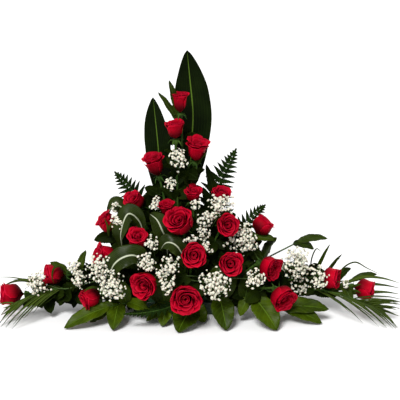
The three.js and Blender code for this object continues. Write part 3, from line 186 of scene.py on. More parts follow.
# The lines of the stems in millimetres, from the foam outwards, one list for each piece
STEMS = {
    "rose_stems_crown": [
        [(-8, 4, 34), (-3, 27, 378), (-7, 18, 449)],
        [(-8, 5, 47), (-17, 0, 394)],
        [(-8, 6, 60), (12, 18, 267), (26, 9, 340)],
        [(-7, 7, 73), (-54, 12, 305)],
    ],
    "rose_stems_right_shoulder": [
        [(34, 4, 36), (26, 4, 175), (22, 1, 248)],
        [(33, 4, 49), (67, 17, 174), (84, 20, 240)],
        [(32, 4, 62), (70, -12, 159), (90, -27, 207)],
        [(32, 4, 75), (161, -8, 172)],
    ],
    "rose_stems_left_shoulder": [
        [(-52, 4, 36), (-80, 16, 163), (-97, 19, 228)],
        [(-55, 5, 49), (-152, -5, 184)],
        [(-58, 6, 61), (-145, -47, 133)],
    ],
    "rose_stems_centre": [
        [(-28, -20, 42), (-35, -14, 216)],
        [(-28, -20, 55), (5, -55, 205)],
        [(-29, -19, 68), (-99, -51, 162)],
    ],
    "rose_stems_front": [
        [(6, -30, 32), (23, -88, 156)],
        [(8, -35, 44), (99, -83, 131)],
        [(9, -41, 55), (5, -125, 76)],
        [(11, -46, 67), (-68, -105, 98)],
    ],
    "rose_stems_left": [
        [(-84, -14, 34), (-180, -93, 72)],
        [(-94, -22, 38), (-263, -31, 89)],
        [(-103, -30, 42), (-360, -34, 42)],
    ],
    "rose_stems_right": [
        [(78, -14, 34), (170, -66, 130)],
        [(86, -19, 43), (205, -99, 81)],
        [(95, -23, 52), (308, -36, 85)],
        [(103, -28, 60), (313, -25, 55), (385, -32, 60)],
    ],
    "aspidistra_tall_right": [[(14, 40, 30), (15, 45, 281)]],
    "aspidistra_tall_left": [[(-32, 40, 30), (-47, 40, 245)]],
    "aspidistra_loop_left": [[(-66, -30, 40), (-71, -48, 78), (-81, -72, 123)]],
    "aspidistra_loop_upper_left": [[(-36, 14, 40), (-89, -16, 162)]],
    "aspidistra_loop_centre": [[(-12, -6, 46), (-36, -37, 130)]],
    "aspidistra_loop_shoulder": [[(-60, 26, 40), (-101, 18, 166)]],
    "aspidistra_loop_front": [[(14, -14, 46), (4, -76, 128)]],
    "fern_right": [[(44, 34, 30), (59, 44, 217)]],
    "fern_left": [[(-78, 34, 30), (-76, 37, 112), (-79, 41, 203)]],
    "fern_side_right": [[(62, 30, 34), (129, 29, 171)]],
    "fern_front": [[(-26, -38, 38), (-21, -69, 39), (-23, -107, 40)]],
    "palm_right": [[(98, 4, 38), (307, -47, 57)]],
    "palm_left": [[(-98, 4, 38), (-286, -48, 59)]],
    "salal_front_left": fan((-54, -34, 40), (-169, -116, 41), (-36, -112, 35)),
    "salal_front_right": fan(
        (38, -36, 40), (20, -106, 33), (83, -106, 57), (165, -106, 54), (229, -98, 32)),
    "salal_right": [
        [(88, 18, 52), (146, 9, 89), (207, 4, 124), (268, 4, 157)],
        [(88, 18, 52), (211, 7, 55), (335, 6, 58), (396, 8, 58)],
    ],
    "salal_back": [
        [(0, 40, 48), (4, 66, 96)],
        *fan((4, 66, 96), (-146, 92, 44), (-50, 128, 46), (58, 130, 46), (148, 92, 42),
             (-62, 78, 140), (-2, 80, 206), (62, 78, 144)),
    ],
    "babys_breath_crown": [
        [(-16, 28, 44), (-10, 5, 340)],
        [(-13, 17, 189), (-26, 5, 288)],
    ],
    "babys_breath_upper_left": [
        [(-46, 20, 44), (-60, -5, 240)],
        [(-53, 8, 140), (-145, -26, 209)],
    ],
    "babys_breath_upper_right": [
        [(50, 24, 44), (41, 11, 112), (28, -22, 246)],
        [(38, 3, 143), (83, -14, 231)],
        [(36, -1, 161), (123, -14, 157)],
    ],
    "babys_breath_centre": [
        [(0, 8, 48), (43, -51, 191)],
        [(21, -21, 118), (15, -76, 188)],
        [(25, -26, 131), (47, -25, 214)],
    ],
    "babys_breath_left_middle": [
        [(-44, -8, 48), (-71, -73, 172)],
        [(-57, -40, 109), (-78, -97, 134)],
    ],
    "babys_breath_front": [
        [(-8, -18, 44), (-25, -109, 134)],
        [(-16, -63, 88), (-31, -135, 100)],
        [(-18, -71, 96), (61, -122, 100)],
        [(-19, -79, 104), (153, -106, 105)],
    ],
    "babys_breath_right": [
        [(66, 6, 44), (235, -40, 115)],
        [(149, -17, 79), (221, -28, 82), (292, -44, 88)],
        [(164, -21, 85), (212, -23, 72), (258, -33, 63)],
    ],
    "babys_breath_left": [
        [(-70, 2, 44), (-175, -73, 116)],
        [(-121, -35, 79), (-148, -106, 90)],
        [(-131, -41, 86), (-224, -62, 87)],
        [(-140, -48, 92), (-237, -40, 107)],
        [(-150, -55, 99), (-264, -55, 63), (-317, -46, 69)],
    ],
    "babys_breath_back": [
        [(10, 46, 44), (-61, 101, 92)],
        [(-25, 73, 68), (45, 104, 100)],
        [(-31, 78, 72), (-8, 95, 176)],
    ],
}

# Long leaves of the aspidistra: the width, the side that it faces and points along the blade
LONG_LEAVES = {
    "aspidistra_tall_right": (86, (0.15, -1, 0.1), [
        (190, 190, 44), (191, 150, 50), (193, 115, 56), (190, 80, 58), (187, 50, 60)]),
    "aspidistra_tall_left": (62, (-0.25, -1, 0.1), [
        (164, 205, 40), (160, 170, 44), (158, 145, 48), (155.5, 120, 50), (153, 97, 50)]),
    "aspidistra_loop_left": (52, (-0.1, -0.75, 0.65), [
        (150, 268, -66), (136, 256, -100), (122, 258, -108), (112, 268, -104), (114, 280, -92)]),
    "aspidistra_loop_upper_left": (46, (-0.5, -0.8, 0.5), [
        (146, 246, -14), (140, 222, -30), (128, 214, -40), (121, 232, -44), (122, 248, -34)]),
    "aspidistra_loop_centre": (44, (0.2, -0.9, 0.4), [
        (168, 262, -34), (166, 240, -50), (162, 230, -62), (157, 220, -58), (150, 214, -44)]),
    "aspidistra_loop_shoulder": (44, (0, -0.6, 0.8), [
        (142, 240, 18), (134, 218, 20), (124, 209, 20), (115, 205, 22), (108, 212, 28)]),
    "aspidistra_loop_front": (42, (0, -0.7, 0.7), [
        (186, 268, -72), (181, 252, -92), (174, 244, -96), (166, 243, -90), (160, 250, -76)]),
}

# Fronds: the reach of the longest leaflets, the pairs of leaflets, how far they lean forward, the
# side that the frond faces and points along the rib
FRONDS = {
    "fern_right": (54, 14, 0.35, FRONT_FACE, [
        (208, 216, 44), (215, 190, 46), (226, 168, 42), (236, 149, 36)]),
    "fern_left": (52, 13, 0.4, FRONT_FACE, [
        (152, 222, 40), (141, 202, 44), (128, 186, 42), (115, 172, 36)]),
    "fern_side_right": (34, 10, 0.55, (-0.2, -1, 0.4), [
        (236, 236, 28), (246, 224, 31), (256, 213, 30), (265, 205, 27)]),
    "fern_front": (26, 12, 0.5, (0, -0.5, 1), [
        (176, 305, -100), (160, 310, -136), (142, 313, -146), (124, 314, -150)]),
    "palm_right": (62, 14, 3.0, (0, -0.25, 1), [
        (312, 289, -44), (338, 294, -60), (362, 302, -82), (380, 309, -102)]),
    "palm_left": (58, 13, 2.4, (0, -0.25, 1), [
        (64, 288, -44), (48, 291, -58), (30, 296, -74), (12, 304, -90)]),
}

# Long palm leaflets that run behind and under the last rose of each arm
PALM_BLADE_WIDTH = 7.5 * MM
PALM_BLADE_FACE = (0, -0.9, 0.45)
PALM_BLADES = {
    "palm_right": [
        [(318, 290, -48), (340, 285, -22), (362, 277, -4), (382, 278, -6), (400, 283, -10)],
        [(324, 291, -52), (346, 288, -24), (366, 284, -6), (384, 285, -8), (400, 288, -12)],
        [(332, 293, -56), (350, 293, -28), (370, 292, -8), (386, 292, -10), (400, 294, -14)],
        [(341, 295, -63), (358, 301, -62), (376, 302, -64), (390, 301, -68), (400, 302, -72)],
        [(349, 298, -71), (366, 304, -72), (382, 306, -76), (400, 308, -82)],
        [(357, 301, -78), (372, 307, -84), (386, 311, -90), (399, 316, -96)],
    ],
    "palm_left": [
        [(56, 289, -50), (40, 284, -24), (24, 280, -4), (12, 282, -6), (1, 287, -10)],
        [(46, 291, -60), (32, 299, -62), (16, 305, -64), (2, 308, -68)],
        [(36, 294, -68), (24, 302, -72), (10, 310, -78), (1, 315, -82)],
    ],
}

# Broad leaves on branches: the branch in its piece, where the leaf starts, its tip, its width
# and, where it isn't the usual one, the side that it faces
SALAL = {
    "salal_front_left": [
        (0, (120, 301, -106), (113, 330), 42),
        (0, (108, 307, -116), (64, 328), 40),
        (0, (114, 304, -112), (90, 322), 38),
        (0, (130, 297, -92), (148, 312, -118), 32),
        (0, (128, 298, -94), (116, 280, -90), 38),
        (1, (162, 300, -98), (144, 315, -126), 22),
        (1, (168, 308, -112), (146, 321), 26),
        (1, (167, 307, -110), (162, 326), 34),
        (1, (160, 299, -90), (158, 270, -82), 44, FRONT_FACE),
        (1, (158, 297, -82), (142, 272, -74), 42, FRONT_FACE),
    ],
    "salal_front_right": [
        (0, (192, 309, -106), (178, 332), 60),
        (0, (193, 306, -100), (205, 322), 40),
        (0, (192, 300, -84), (178, 270, -78), 38, FRONT_FACE),
        (1, (220, 299, -106), (226.5, 330), 52),
        (1, (219, 296, -92), (216, 266, -76), 48, FRONT_FACE),
        (1, (220, 297, -96), (236, 276, -90), 42, FILLER_FACE),
        (2, (256, 300, -106), (277, 330), 58),
        (2, (248, 297, -92), (240, 316, -112), 28),
        (2, (245, 294, -84), (258, 310, -118), 14),
        (2, (246, 295, -86), (252, 272, -80), 42, FILLER_FACE),
        (3, (284, 308, -98), (322, 323), 38),
        (3, (278, 305, -92), (329, 309, -102), 44),
    ],
    "salal_right": [
        (0, (299, 241.5, 4), (327.6, 238.3, 8), 22),
        (0, (294, 244, 0), (314, 249, -12), 24),
        (0, (258, 259, -26), (277, 238, -34), 36),
        (1, (352, 281, 8), (377, 274, 10), 18),
        (1, (336, 280, 6), (351, 268, 4), 20),
        (1, (312, 281, 0), (330, 244, 10), 9),
        (1, (322, 279, 2), (342, 254, 6), 9),
    ],
}

# The leaves of the branches that cover the back, in millimetres. A branch that ends over the
# height of a tall one has three of them, and any other two.
BACK_LEAF_LENGTH, BACK_LEAF_WIDTH = 96, 58
TALL_BRANCH = 100 * MM

# Blades of grass over the right arm
GRASS = [
    [(336, 280, 2), (343, 268, -2), (355, 262, -6), (367, 268, -10), (380, 274, -14)],
    [(330, 280, 0), (331, 270, -2), (334, 262, -6), (341, 258, -10)],
    [(312, 281, 0), (311, 262, -4), (316, 249, -8), (322, 252, -10)],
]

# Sprays of baby's breath: the middle and radius of the head on each stem
SPRAYS = {
    "babys_breath_crown": [(179, 160, -6, 11), (172, 184, -2, 7)],
    "babys_breath_upper_left": [(157, 205, -14, 8), (118, 222, -34, 7)],
    "babys_breath_upper_right": [(195, 204, -28, 7), (221, 208, -30, 14), (241, 240, -34, 16)],
    "babys_breath_centre": [(203, 233, -60, 7), (190, 238, -86, 7), (205, 219, -34, 8)],
    "babys_breath_left_middle": [(151, 244, -84, 8), (147, 264, -112, 10)],
    "babys_breath_front": [(171, 266, -124, 10), (168, 286, -150, 9), (214, 284, -146, 15),
                           (255, 279, -118, 9)],
    "babys_breath_right": [(294, 264, -60, 16), (317, 277, -58, 12), (300, 286, -44, 9)],
    "babys_breath_left": [(101, 268, -92, 14), (113, 286, -128, 14), (81, 280, -74, 9),
                          (76, 268, -50, 8), (40, 283, -58, 12)],
    "babys_breath_back": [],
}
# Small heads beside them, which fork from the stems of the same spray
SMALL_HEADS = {
    "babys_breath_upper_left": [(156, 219, -24, 5), (115, 207, 0, 4)],
    "babys_breath_centre": [(206, 249, -88, 6)],
    "babys_breath_front": [(160, 274, -126, 6)],
    "babys_breath_right": [(346, 283, -44, 5), (321, 281, -72, 6)],
}
# The middle and radius of the heads at the back, in millimetres
BACK_HEADS = [((-70, 120, 100), 30), ((50, 124, 110), 30), ((-10, 110, 190), 28)]


COLOUR = {"subtype": "COLOR", "min": 0, "max": 1}


class RoseSettings(bpy.types.PropertyGroup):
    # Painted shade: the dark red that the petals are painted with towards their feet, deep in a bloom
    petal_painted_shade: bpy.props.FloatVectorProperty(
        name="Petal shade", description="Red in the depth of a bloom",
        default=(0.03, 0.0, 0.001), **COLOUR)
    petal_light: bpy.props.FloatVectorProperty(
        name="Petal light", description="Red on the face of a petal",
        default=(0.42, 0.0, 0.012), **COLOUR)
    petal_thickness: bpy.props.FloatProperty(
        name="Petal thickness", description="Thickness of a petal", subtype="DISTANCE",
        default=0.6 * MM, min=0.2 * MM, max=2 * MM)
    curl: bpy.props.FloatProperty(
        name="Lip curl", description="How far the lips of the petals roll outwards",
        subtype="FACTOR", default=0.6, min=0, max=1)
    stem_width: bpy.props.FloatProperty(
        name="Stem", description="Diameter of a rose stem", subtype="DISTANCE",
        default=5 * MM, min=2 * MM, max=8 * MM)


class BreathSettings(bpy.types.PropertyGroup):
    floret: bpy.props.FloatProperty(
        name="Floret", description="Diameter of a floret", subtype="DISTANCE",
        default=7 * MM, min=2 * MM, max=12 * MM)
    density: bpy.props.FloatProperty(
        name="Density", description="Florets for each square centimetre of a head's middle",
        default=4.4, min=0.5, max=8)
    colour: bpy.props.FloatVectorProperty(
        name="Floret colour", description="Colour of the florets",
        default=(0.8, 0.77, 0.65), **COLOUR)


class FoliageSettings(bpy.types.PropertyGroup):
    leaf_thickness: bpy.props.FloatProperty(
        name="Leaf thickness", description="Thickness of a leaf", subtype="DISTANCE",
        default=0.7 * MM, min=0.2 * MM, max=2 * MM)
    dark: bpy.props.FloatVectorProperty(
        name="Aspidistra", description="Green of the long leaves",
        default=(0.0028, 0.0068, 0.0008), **COLOUR)
    fern: bpy.props.FloatVectorProperty(
        name="Fern", description="Green of the ferns", default=(0.006, 0.017, 0.002), **COLOUR)
    palm: bpy.props.FloatVectorProperty(
        name="Palm", description="Green of the palm fronds",
        default=(0.028, 0.052, 0.003), **COLOUR)
    bright: bpy.props.FloatVectorProperty(
        name="Salal", description="Green of the broad leaves",
        default=(0.032, 0.058, 0.0012), **COLOUR)


class VesselSettings(bpy.types.PropertyGroup):
    tray: bpy.props.FloatVectorProperty(
        name="Tray", description="Colour of the tray", default=(0.012, 0.03, 0.014), **COLOUR)
    foam: bpy.props.FloatVectorProperty(
        name="Foam", description="Colour of the wet foam", default=(0.02, 0.07, 0.03), **COLOUR)


class StageSettings(bpy.types.PropertyGroup):
    key_strength: bpy.props.FloatProperty(
        name="Key light", description="Strength of the soft light over the front",
        default=3.6, min=0, max=20)
    fill_strength: bpy.props.FloatProperty(
        name="Fill light", description="Strength of the soft light over the back",
        default=0.9, min=0, max=20)
    key_softness: bpy.props.FloatProperty(
        name="Softness", description="How wide the key light stands in the sky", subtype="ANGLE",
        default=math.radians(24), min=0, max=math.pi)
    sky: bpy.props.FloatProperty(
        name="Sky", description="Brightness of the even light all round", default=0.4, min=0, max=3)
    floor: bpy.props.FloatVectorProperty(
        name="Floor", description="Colour of the floor", default=(0.9, 0.9, 0.9), **COLOUR)


class Term:
    """A value in a material; arithmetic on it adds Math nodes."""

    def __init__(self, paint, socket):
        self.paint = paint
        self.socket = socket

    def _math(self, operation, first, second=0.0):
        return self.paint.node("ShaderNodeMath", {"operation": operation}, {0: first, 1: second})

    def __add__(self, other):
        return self._math("ADD", self, other)

    def __sub__(self, other):
        return self._math("SUBTRACT", self, other)

    def __rsub__(self, other):
        return self._math("SUBTRACT", other, self)

    def __mul__(self, other):
        return self._math("MULTIPLY", self, other)

    def __abs__(self):
        return self._math("ABSOLUTE", self)

    __radd__ = __add__
    __rmul__ = __mul__

    def sine(self):
        return self._math("SINE", self)

    def step(self, low, high):
        """0 under low, 1 over high and smooth between them, also with low over high."""
        ends = {1: low, 2: high, 3: 0.0, 4: 1.0}
        if low > high:
            ends = {1: high, 2: low, 3: 1.0, 4: 0.0}
        settings = {"interpolation_type": "SMOOTHSTEP", "clamp": True}
        return self.paint.node("ShaderNodeMapRange", settings, {0: self, **ends})


class Paint:
    """A material whose shader takes patterns that follow the surface or lie in space."""

    def __init__(self, name, **constants):
        self.material = bpy.data.materials.new(name)
        self.material.use_nodes = True
        self.tree = self.material.node_tree
        self.shader = self.tree.nodes["Principled BSDF"]
        for socket, value in constants.items():
            self.shader.inputs[socket.replace("_", " ")].default_value = value
        surface = self.node("ShaderNodeUVMap", {"uv_map": "surface"})
        split = self.node("ShaderNodeSeparateXYZ", {}, {0: surface}).socket.node.outputs
        self.u, self.v = Term(self, split[0]), Term(self, split[1])
        self.tone = self.node("ShaderNodeAttribute", {"attribute_name": "tone"}, output=2)
        self.place = self.node("ShaderNodeTexCoord", output=3)

    def node(self, kind, settings=None, sockets=None, output=0):
        made = self.tree.nodes.new(kind)
        for key, value in (settings or {}).items():
            setattr(made, key, value)
        for key, value in (sockets or {}).items():
            if isinstance(value, Term):
                self.tree.links.new(value.socket, made.inputs[key])
            else:
                made.inputs[key].default_value = value
        return Term(self, made.outputs[output])

    def noise(self, scale, detail=3.0):
        sockets = {"Vector": self.place, "Scale": scale, "Detail": detail}
        return self.node("ShaderNodeTexNoise", {}, sockets)

    def mix(self, share, first, second, blend_type="MIX"):
        settings = {"data_type": "RGBA", "blend_type": blend_type}
        sockets = {0: share, 6: self._colour(first), 7: self._colour(second)}
        return self.node("ShaderNodeMix", settings, sockets, output=2)

    @staticmethod
    def _colour(value):
        return value if isinstance(value, Term) else (*value, 1.0)

    def shade(self, colour, amount):
        """The same colour, darker or lighter by a factor that may change over the surface."""
        grey = self.node("ShaderNodeCombineColor", {}, {0: amount, 1: amount, 2: amount})
        return self.mix(1.0, colour, grey, "MULTIPLY")

    def finish(self, colour, roughness, relief=None, height=0):
        links = self.tree.links
        links.new(colour.socket, self.shader.inputs["Base Color"])
        if isinstance(roughness, Term):
            links.new(roughness.socket, self.shader.inputs["Roughness"])
        else:
            self.shader.inputs["Roughness"].default_value = roughness
        if relief:
            sockets = {"Strength": 1.0, "Distance": height, "Height": relief}
            bump = self.node("ShaderNodeBump", {}, sockets)
            links.new(bump.socket, self.shader.inputs["Normal"])
        return self.material


def blend(first, second, share):
    return tuple(a + (b - a) * share for a, b in zip(first, second))


def petal_paint(settings):
    paint = Paint("Red rose petal", Specular_IOR_Level=0.035, Subsurface_Weight=0.08,
                  Subsurface_Scale=0.003)
    paint.shader.inputs["Subsurface Radius"].default_value = (1.0, 0.1, 0.1)
    cloud = paint.noise(60)
    fine = paint.noise(420, 4)
    vein = (paint.u * 46 + cloud * 5).sine() * paint.v.step(0.1, 0.6)
    # Painted shade: each petal is painted darker towards its foot, and darker where its tone is low
    light = paint.v.step(0.3, 0.98) * (0.65 + 0.35 * cloud) + (paint.tone - 0.5) * 0.8
    face = paint.mix(light, settings.petal_painted_shade, settings.petal_light)
    # Painted highlight: the rolled lips are painted a pale pinkish red where the light grazes them
    lip = paint.v.step(0.9, 1.0) * 0.4
    colour = paint.mix(lip, face, blend(settings.petal_light, (0.95, 0.02, 0.08), 0.5))
    colour = paint.shade(colour, 0.88 + 0.04 * vein + 0.18 * fine)
    relief = 0.4 * vein + 0.8 * fine + 1.2 * cloud
    return paint.finish(colour, 0.46 + 0.2 * fine, relief, 0.25 * MM)


# Veins are a sine, with a full turn from each to the next, and slant towards the tip
FULL_TURN = 6.283
VEIN_SLANT = 0.28


def leaf_paint(name, green, rib_colour, veins, gloss, rib=0.05, shine=0.06, contrast=0.25,
               parallel=False):
    """Veins that slant off the midrib, or run along the blade where parallel is set."""
    paint = Paint(name, Specular_IOR_Level=shine)
    across = abs(paint.u)
    cloud = paint.noise(30)
    fine = paint.noise(500)
    if parallel:
        lines = (paint.u * veins * 6.0 + cloud * 0.6).sine()
    else:
        lines = ((paint.v * veins - across * VEIN_SLANT * veins) * FULL_TURN + cloud * 0.8).sine()
    ridge = lines.step(0.72, 1.0) * across.step(1.0, 0.8)
    midrib = across.step(rib * 1.7, rib * 0.6)
    patch = cloud.step(0.3, 0.75)
    low = tuple(part * 0.55 for part in green)
    high = (green[0] * 1.9, green[1] * 1.7, green[2] * 1.5)
    colour = paint.mix(patch * 0.6 + (paint.tone - 0.5) * 0.7 + 0.1, low, high)
    colour = paint.mix(ridge * contrast, colour, rib_colour)
    colour = paint.mix(midrib * 0.8, colour, rib_colour)
    colour = paint.mix(across.step(0.93, 1.0) * 0.12, colour, (0.08, 0.09, 0.02))
    relief = 0.8 * midrib - 0.5 * ridge + 0.25 * fine + 0.8 * cloud
    return paint.finish(colour, gloss + 0.2 * fine + 0.08 * patch, relief, 0.5 * MM)


def stem_paint():
    paint = Paint("Green stem", Specular_IOR_Level=0.05)
    cloud = paint.noise(40)
    fibre = (paint.u * 25 + cloud * 2).sine()
    colour = paint.mix(cloud.step(0.35, 0.7), (0.02, 0.05, 0.008), (0.05, 0.1, 0.016))
    colour = paint.mix(paint.noise(14).step(0.58, 0.75) * 0.35, colour, (0.05, 0.02, 0.01))
    return paint.finish(colour, 0.45 + 0.15 * cloud, 0.4 * fibre + cloud, 0.2 * MM)


def stalk_paint():
    paint = Paint("Pale green stalk", Specular_IOR_Level=0.1)
    cloud = paint.noise(90)
    colour = paint.mix(cloud, (0.02, 0.045, 0.01), (0.08, 0.12, 0.035))
    return paint.finish(colour, 0.5 + 0.2 * cloud, cloud, 0.1 * MM)


def floret_paint(settings):
    paint = Paint("White floret", Specular_IOR_Level=0.25, Sheen_Weight=0.15, Subsurface_Weight=0.1,
                  Subsurface_Scale=0.002)
    frill = paint.noise(700, 4)
    colour = paint.mix(paint.tone, blend(settings.colour, (0.45, 0.44, 0.3), 0.5), settings.colour)
    colour = paint.mix(paint.v.step(0.45, 0.1) * 0.75, colour, (0.2, 0.26, 0.09))
    colour = paint.shade(colour, 0.82 + 0.3 * frill)
    return paint.finish(colour, 0.75 + 0.15 * frill, frill, 0.5 * MM)


def tray_paint(settings):
    paint = Paint("Moulded plastic", Specular_IOR_Level=0.45)
    grain = paint.noise(900, 2)
    wear = paint.noise(22, 5).step(0.55, 0.72)
    colour = paint.mix(wear * 0.4, settings.tray, blend(settings.tray, (0.1, 0.13, 0.1), 0.5))
    return paint.finish(colour, 0.36 + 0.18 * grain + 0.14 * wear, grain, 0.06 * MM)


def foam_paint(settings):
    paint = Paint("Wet floral foam", Specular_IOR_Level=0.2)
    pores = paint.node("ShaderNodeTexVoronoi", {}, {"Vector": paint.place, "Scale": 520})
    crumb = paint.noise(130, 6)
    wet = paint.noise(18).step(0.4, 0.65)
    colour = paint.mix(wet * 0.7, blend(settings.foam, (0.1, 0.25, 0.12), 0.35), settings.foam)
    colour = paint.shade(colour, 0.5 + 0.9 * pores + 0.2 * crumb)
    return paint.finish(colour, 0.95 - 0.35 * wet, pores + 1.5 * crumb, 0.8 * MM)


# Radii of the thinner stems
BRANCH, FERN_RIB, PALM_RIB = 1.8 * MM, 1.6 * MM, 2.3 * MM
SPRAY_STEM, TWIG, FORK, FLORET_STALK = 1.2 * MM, 0.8 * MM, 0.55 * MM, 0.35 * MM

# How far a leaf reaches into its stem, and a stalk into its blade
LEAF_OVERLAP, STALK_OVERLAP = 3.2 * MM, 12 * MM

# Columns and rows of the grids that petals and leaves are laid down in
PETAL_GRID, HEART_GRID = (10, 10), (30, 5)
ROSE_LEAF_GRID, LONG_LEAF_GRID, BROAD_LEAF_GRID = (8, 24), (16, 36), (12, 22)


def clamp(value):
    return min(max(value, 0), 1)


def ray(pixel_x, pixel_y):
    across = (pixel_x - FRAME_MIDDLE) * PIXEL / VIEW_DISTANCE
    rise = (FRAME_MIDDLE - pixel_y) * PIXEL / VIEW_DISTANCE
    return Vector((across, COSINE + rise * SINE, rise * COSINE - SINE))


def place(pixel_x, pixel_y, depth):
    """The point seen at a pixel that lies at a depth, its Y in millimetres."""
    step = ray(pixel_x, pixel_y)
    return VIEW_START + step * ((depth * MM - VIEW_START.y) / step.y)


def point_of(entry):
    """A point of a table row; one without a depth lies just over the table."""
    if len(entry) == 3:
        return place(*entry)
    step = ray(*entry)
    return VIEW_START + step * ((LOWEST + MM - VIEW_START.z) / step.z)


def millimetres(*values):
    return Vector(values) * MM


def length_of(line):
    return sum((b - a).length for a, b in zip(line, line[1:]))


def travelled(line, distance):
    """The place on a line of straight steps at a distance from its start."""
    for a, b in zip(line, line[1:]):
        length = (b - a).length
        if distance <= length:
            return a.lerp(b, distance / length)
        distance -= length
    return line[-1].copy()


def nearest_on(lines, target):
    """The place nearest to the target on any of several lines."""
    spots = []
    for line in lines:
        for a, b in zip(line, line[1:]):
            spots.append(a.lerp(b, clamp(intersect_point_line(target, a, b)[1])))
    return min(spots, key=lambda spot: (spot - target).length)


class Curve:
    """A smooth curve through points, read by the share along it."""

    def __init__(self, points):
        self.points = [2 * points[0] - points[1], *points, 2 * points[-1] - points[-2]]

    def at(self, share):
        spot = clamp(share) * (len(self.points) - 3)
        first = min(int(spot), len(self.points) - 4)
        t = spot - first
        a, b, c, d = self.points[first:first + 4]
        square = 2 * a - 5 * b + 4 * c - d
        cube = 3 * b - a - 3 * c + d
        return 0.5 * (2 * b + (c - a) * t + square * t**2 + cube * t**3)

    def heading(self, share):
        return (self.at(share + 0.01) - self.at(share - 0.01)).normalized()


def seen_curve(points):
    return Curve([place(*point) for point in points])


def stem_lines(name):
    """The lines of a piece's stems."""
    return [[millimetres(*point) for point in points] for points in STEMS[name]]


def bowed(base, tip, bow):
    """A curve from base to tip that rises over the straight line by half of bow."""
    middle = (base + tip) / 2 + Vector((0, 0, bow))
    shares = [0, 0.25, 0.5, 0.75, 1]
    return Curve([base * (1 - t)**2 + middle * 2 * t * (1 - t) + tip * t**2 for t in shares])


def add_object(name, data):
    made = bpy.data.objects.new(name, data)
    bpy.context.scene.collection.objects.link(made)
    return made


class Piece:
    """One piece of the arrangement, laid down sheet by sheet in one mesh."""

    def __init__(self, name, *paints):
        self.name = name
        self.paints = paints
        self.mesh = bmesh.new()
        self.layers(self.mesh)
        self.scratch = bpy.data.meshes.new("scratch")

    @staticmethod
    def layers(mesh):
        return mesh.loops.layers.uv.new("surface"), mesh.verts.layers.float.new("tone")

    def sheet(self, columns, rows, shape, paint=0, tone=0.5, thickness=0.0, closed=False):
        """A grid shaped by shape(u, v), with u from -1 to 1 across and v from 0 to 1 along.
        A closed one has its seam and its poles merged; another gets a thickness."""
        mesh = bmesh.new()
        spots, tones = self.layers(mesh)
        made = bmesh.ops.create_grid(mesh, x_segments=columns, y_segments=rows, size=1)["verts"]
        shares = {}
        for vertex in made:
            u, v = vertex.co.x, vertex.co.y * 0.5 + 0.5
            shares[vertex] = (u, v)
            vertex.co = shape(u, v)
            vertex[tones] = tone
        for face in mesh.faces:
            face.smooth = True
            face.material_index = paint
            for loop in face.loops:
                loop[spots].uv = shares[loop.vert]
        if closed:
            bmesh.ops.remove_doubles(mesh, verts=mesh.verts, dist=1e-6)
            bmesh.ops.recalc_face_normals(mesh, faces=mesh.faces)
        elif thickness:
            bmesh.ops.solidify(mesh, geom=mesh.faces, thickness=thickness)
        mesh.to_mesh(self.scratch)
        mesh.free()
        self.mesh.from_mesh(self.scratch)

    def tube(self, curve, radius, sides, steps, paint=0, tone=0.5):
        """A closed tube round a curve; radius(v) is its radius at a share along it."""
        reference = Vector((0.15, 0.95, -0.27))

        def shape(u, v):
            heading = curve.heading(v)
            side = heading.cross(reference).normalized()
            turn = math.pi * (u + 1)
            out = side * math.cos(turn) + heading.cross(side) * math.sin(turn)
            return curve.at(v) + out * (radius(v) if 0 < v < 1 else 0)

        self.sheet(sides, steps, shape, paint, tone, closed=True)

    def rod(self, line, radius, sides=8, paint=0):
        """A stem of even radius along a line of points."""
        steps = 4 + int(length_of(line) / 0.02)
        self.tube(Curve(line), lambda v: radius * (1.08 - 0.16 * v), sides, steps, paint)

    def stalk(self, line, curve, radius):
        """A stem that runs on into the start of the curve that it carries."""
        self.rod([*line, line[-1] + curve.heading(0) * STALK_OVERLAP], radius)

    def data(self):
        """The finished mesh, to which nothing can be added."""
        data = bpy.data.meshes.new(self.name)
        self.mesh.to_mesh(data)
        self.mesh.free()
        bpy.data.meshes.remove(self.scratch)
        return data

    def done(self, node):
        made = add_object(self.name, self.data())
        for paint in self.paints:
            made.data.materials.append(paint)
        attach(made, "root")
        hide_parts(node)


def ovate(v):
    return 2.43 * v**0.55 * max(1 - v, 0)**0.75


def lance(v):
    along = v**1.2
    return 2.26 * along**0.5 * max(1 - along, 0)**0.7 * (1 - 0.7 * max(0, v - 0.7))


def pinna(v):
    """A fern leaflet: widest near the rib, cut into small lobes, with a drawn-out tip."""
    return min(1, 7 * v + 0.4) * max(1 - v, 0)**0.85 * (0.72 + 0.28 * abs(math.sin(8 * math.pi * v)))


def strap(v):
    """A palm leaflet: even in width, with a long fine tip."""
    return min(1, 7 * v + 0.25) * min(1, 2.2 * max(1 - v, 0))


def leaf_shape(curve, width, face, outline=ovate, fold=0.22, wave=2.0, waves=3.0, teeth=0, frill=0.0):
    """The middle surface of a leaf along a curve, folded along its midrib and waved at its rims."""
    face = Vector(face)

    def shape(u, v):
        heading = curve.heading(v)
        side = heading.cross(face).normalized()
        rise = side.cross(heading)
        half = width / 2 * outline(v)
        if teeth:
            half *= 1 - 0.16 * ((v * teeth) % 1)
        lift = fold * abs(u) * half + wave * MM * u * u * math.sin(waves * 2 * math.pi * v)
        lift += frill * MM * u**4 * math.sin(waves * 5.3 * math.pi * v + 2 * (u > 0))
        point = curve.at(v) + side * (u * half) + rise * lift
        point.z = max(point.z, LOWEST)
        return point

    return shape


def leaf_base(line, near, tip):
    spot = nearest_on([line], near)
    return spot - (tip - spot).normalized() * LEAF_OVERLAP


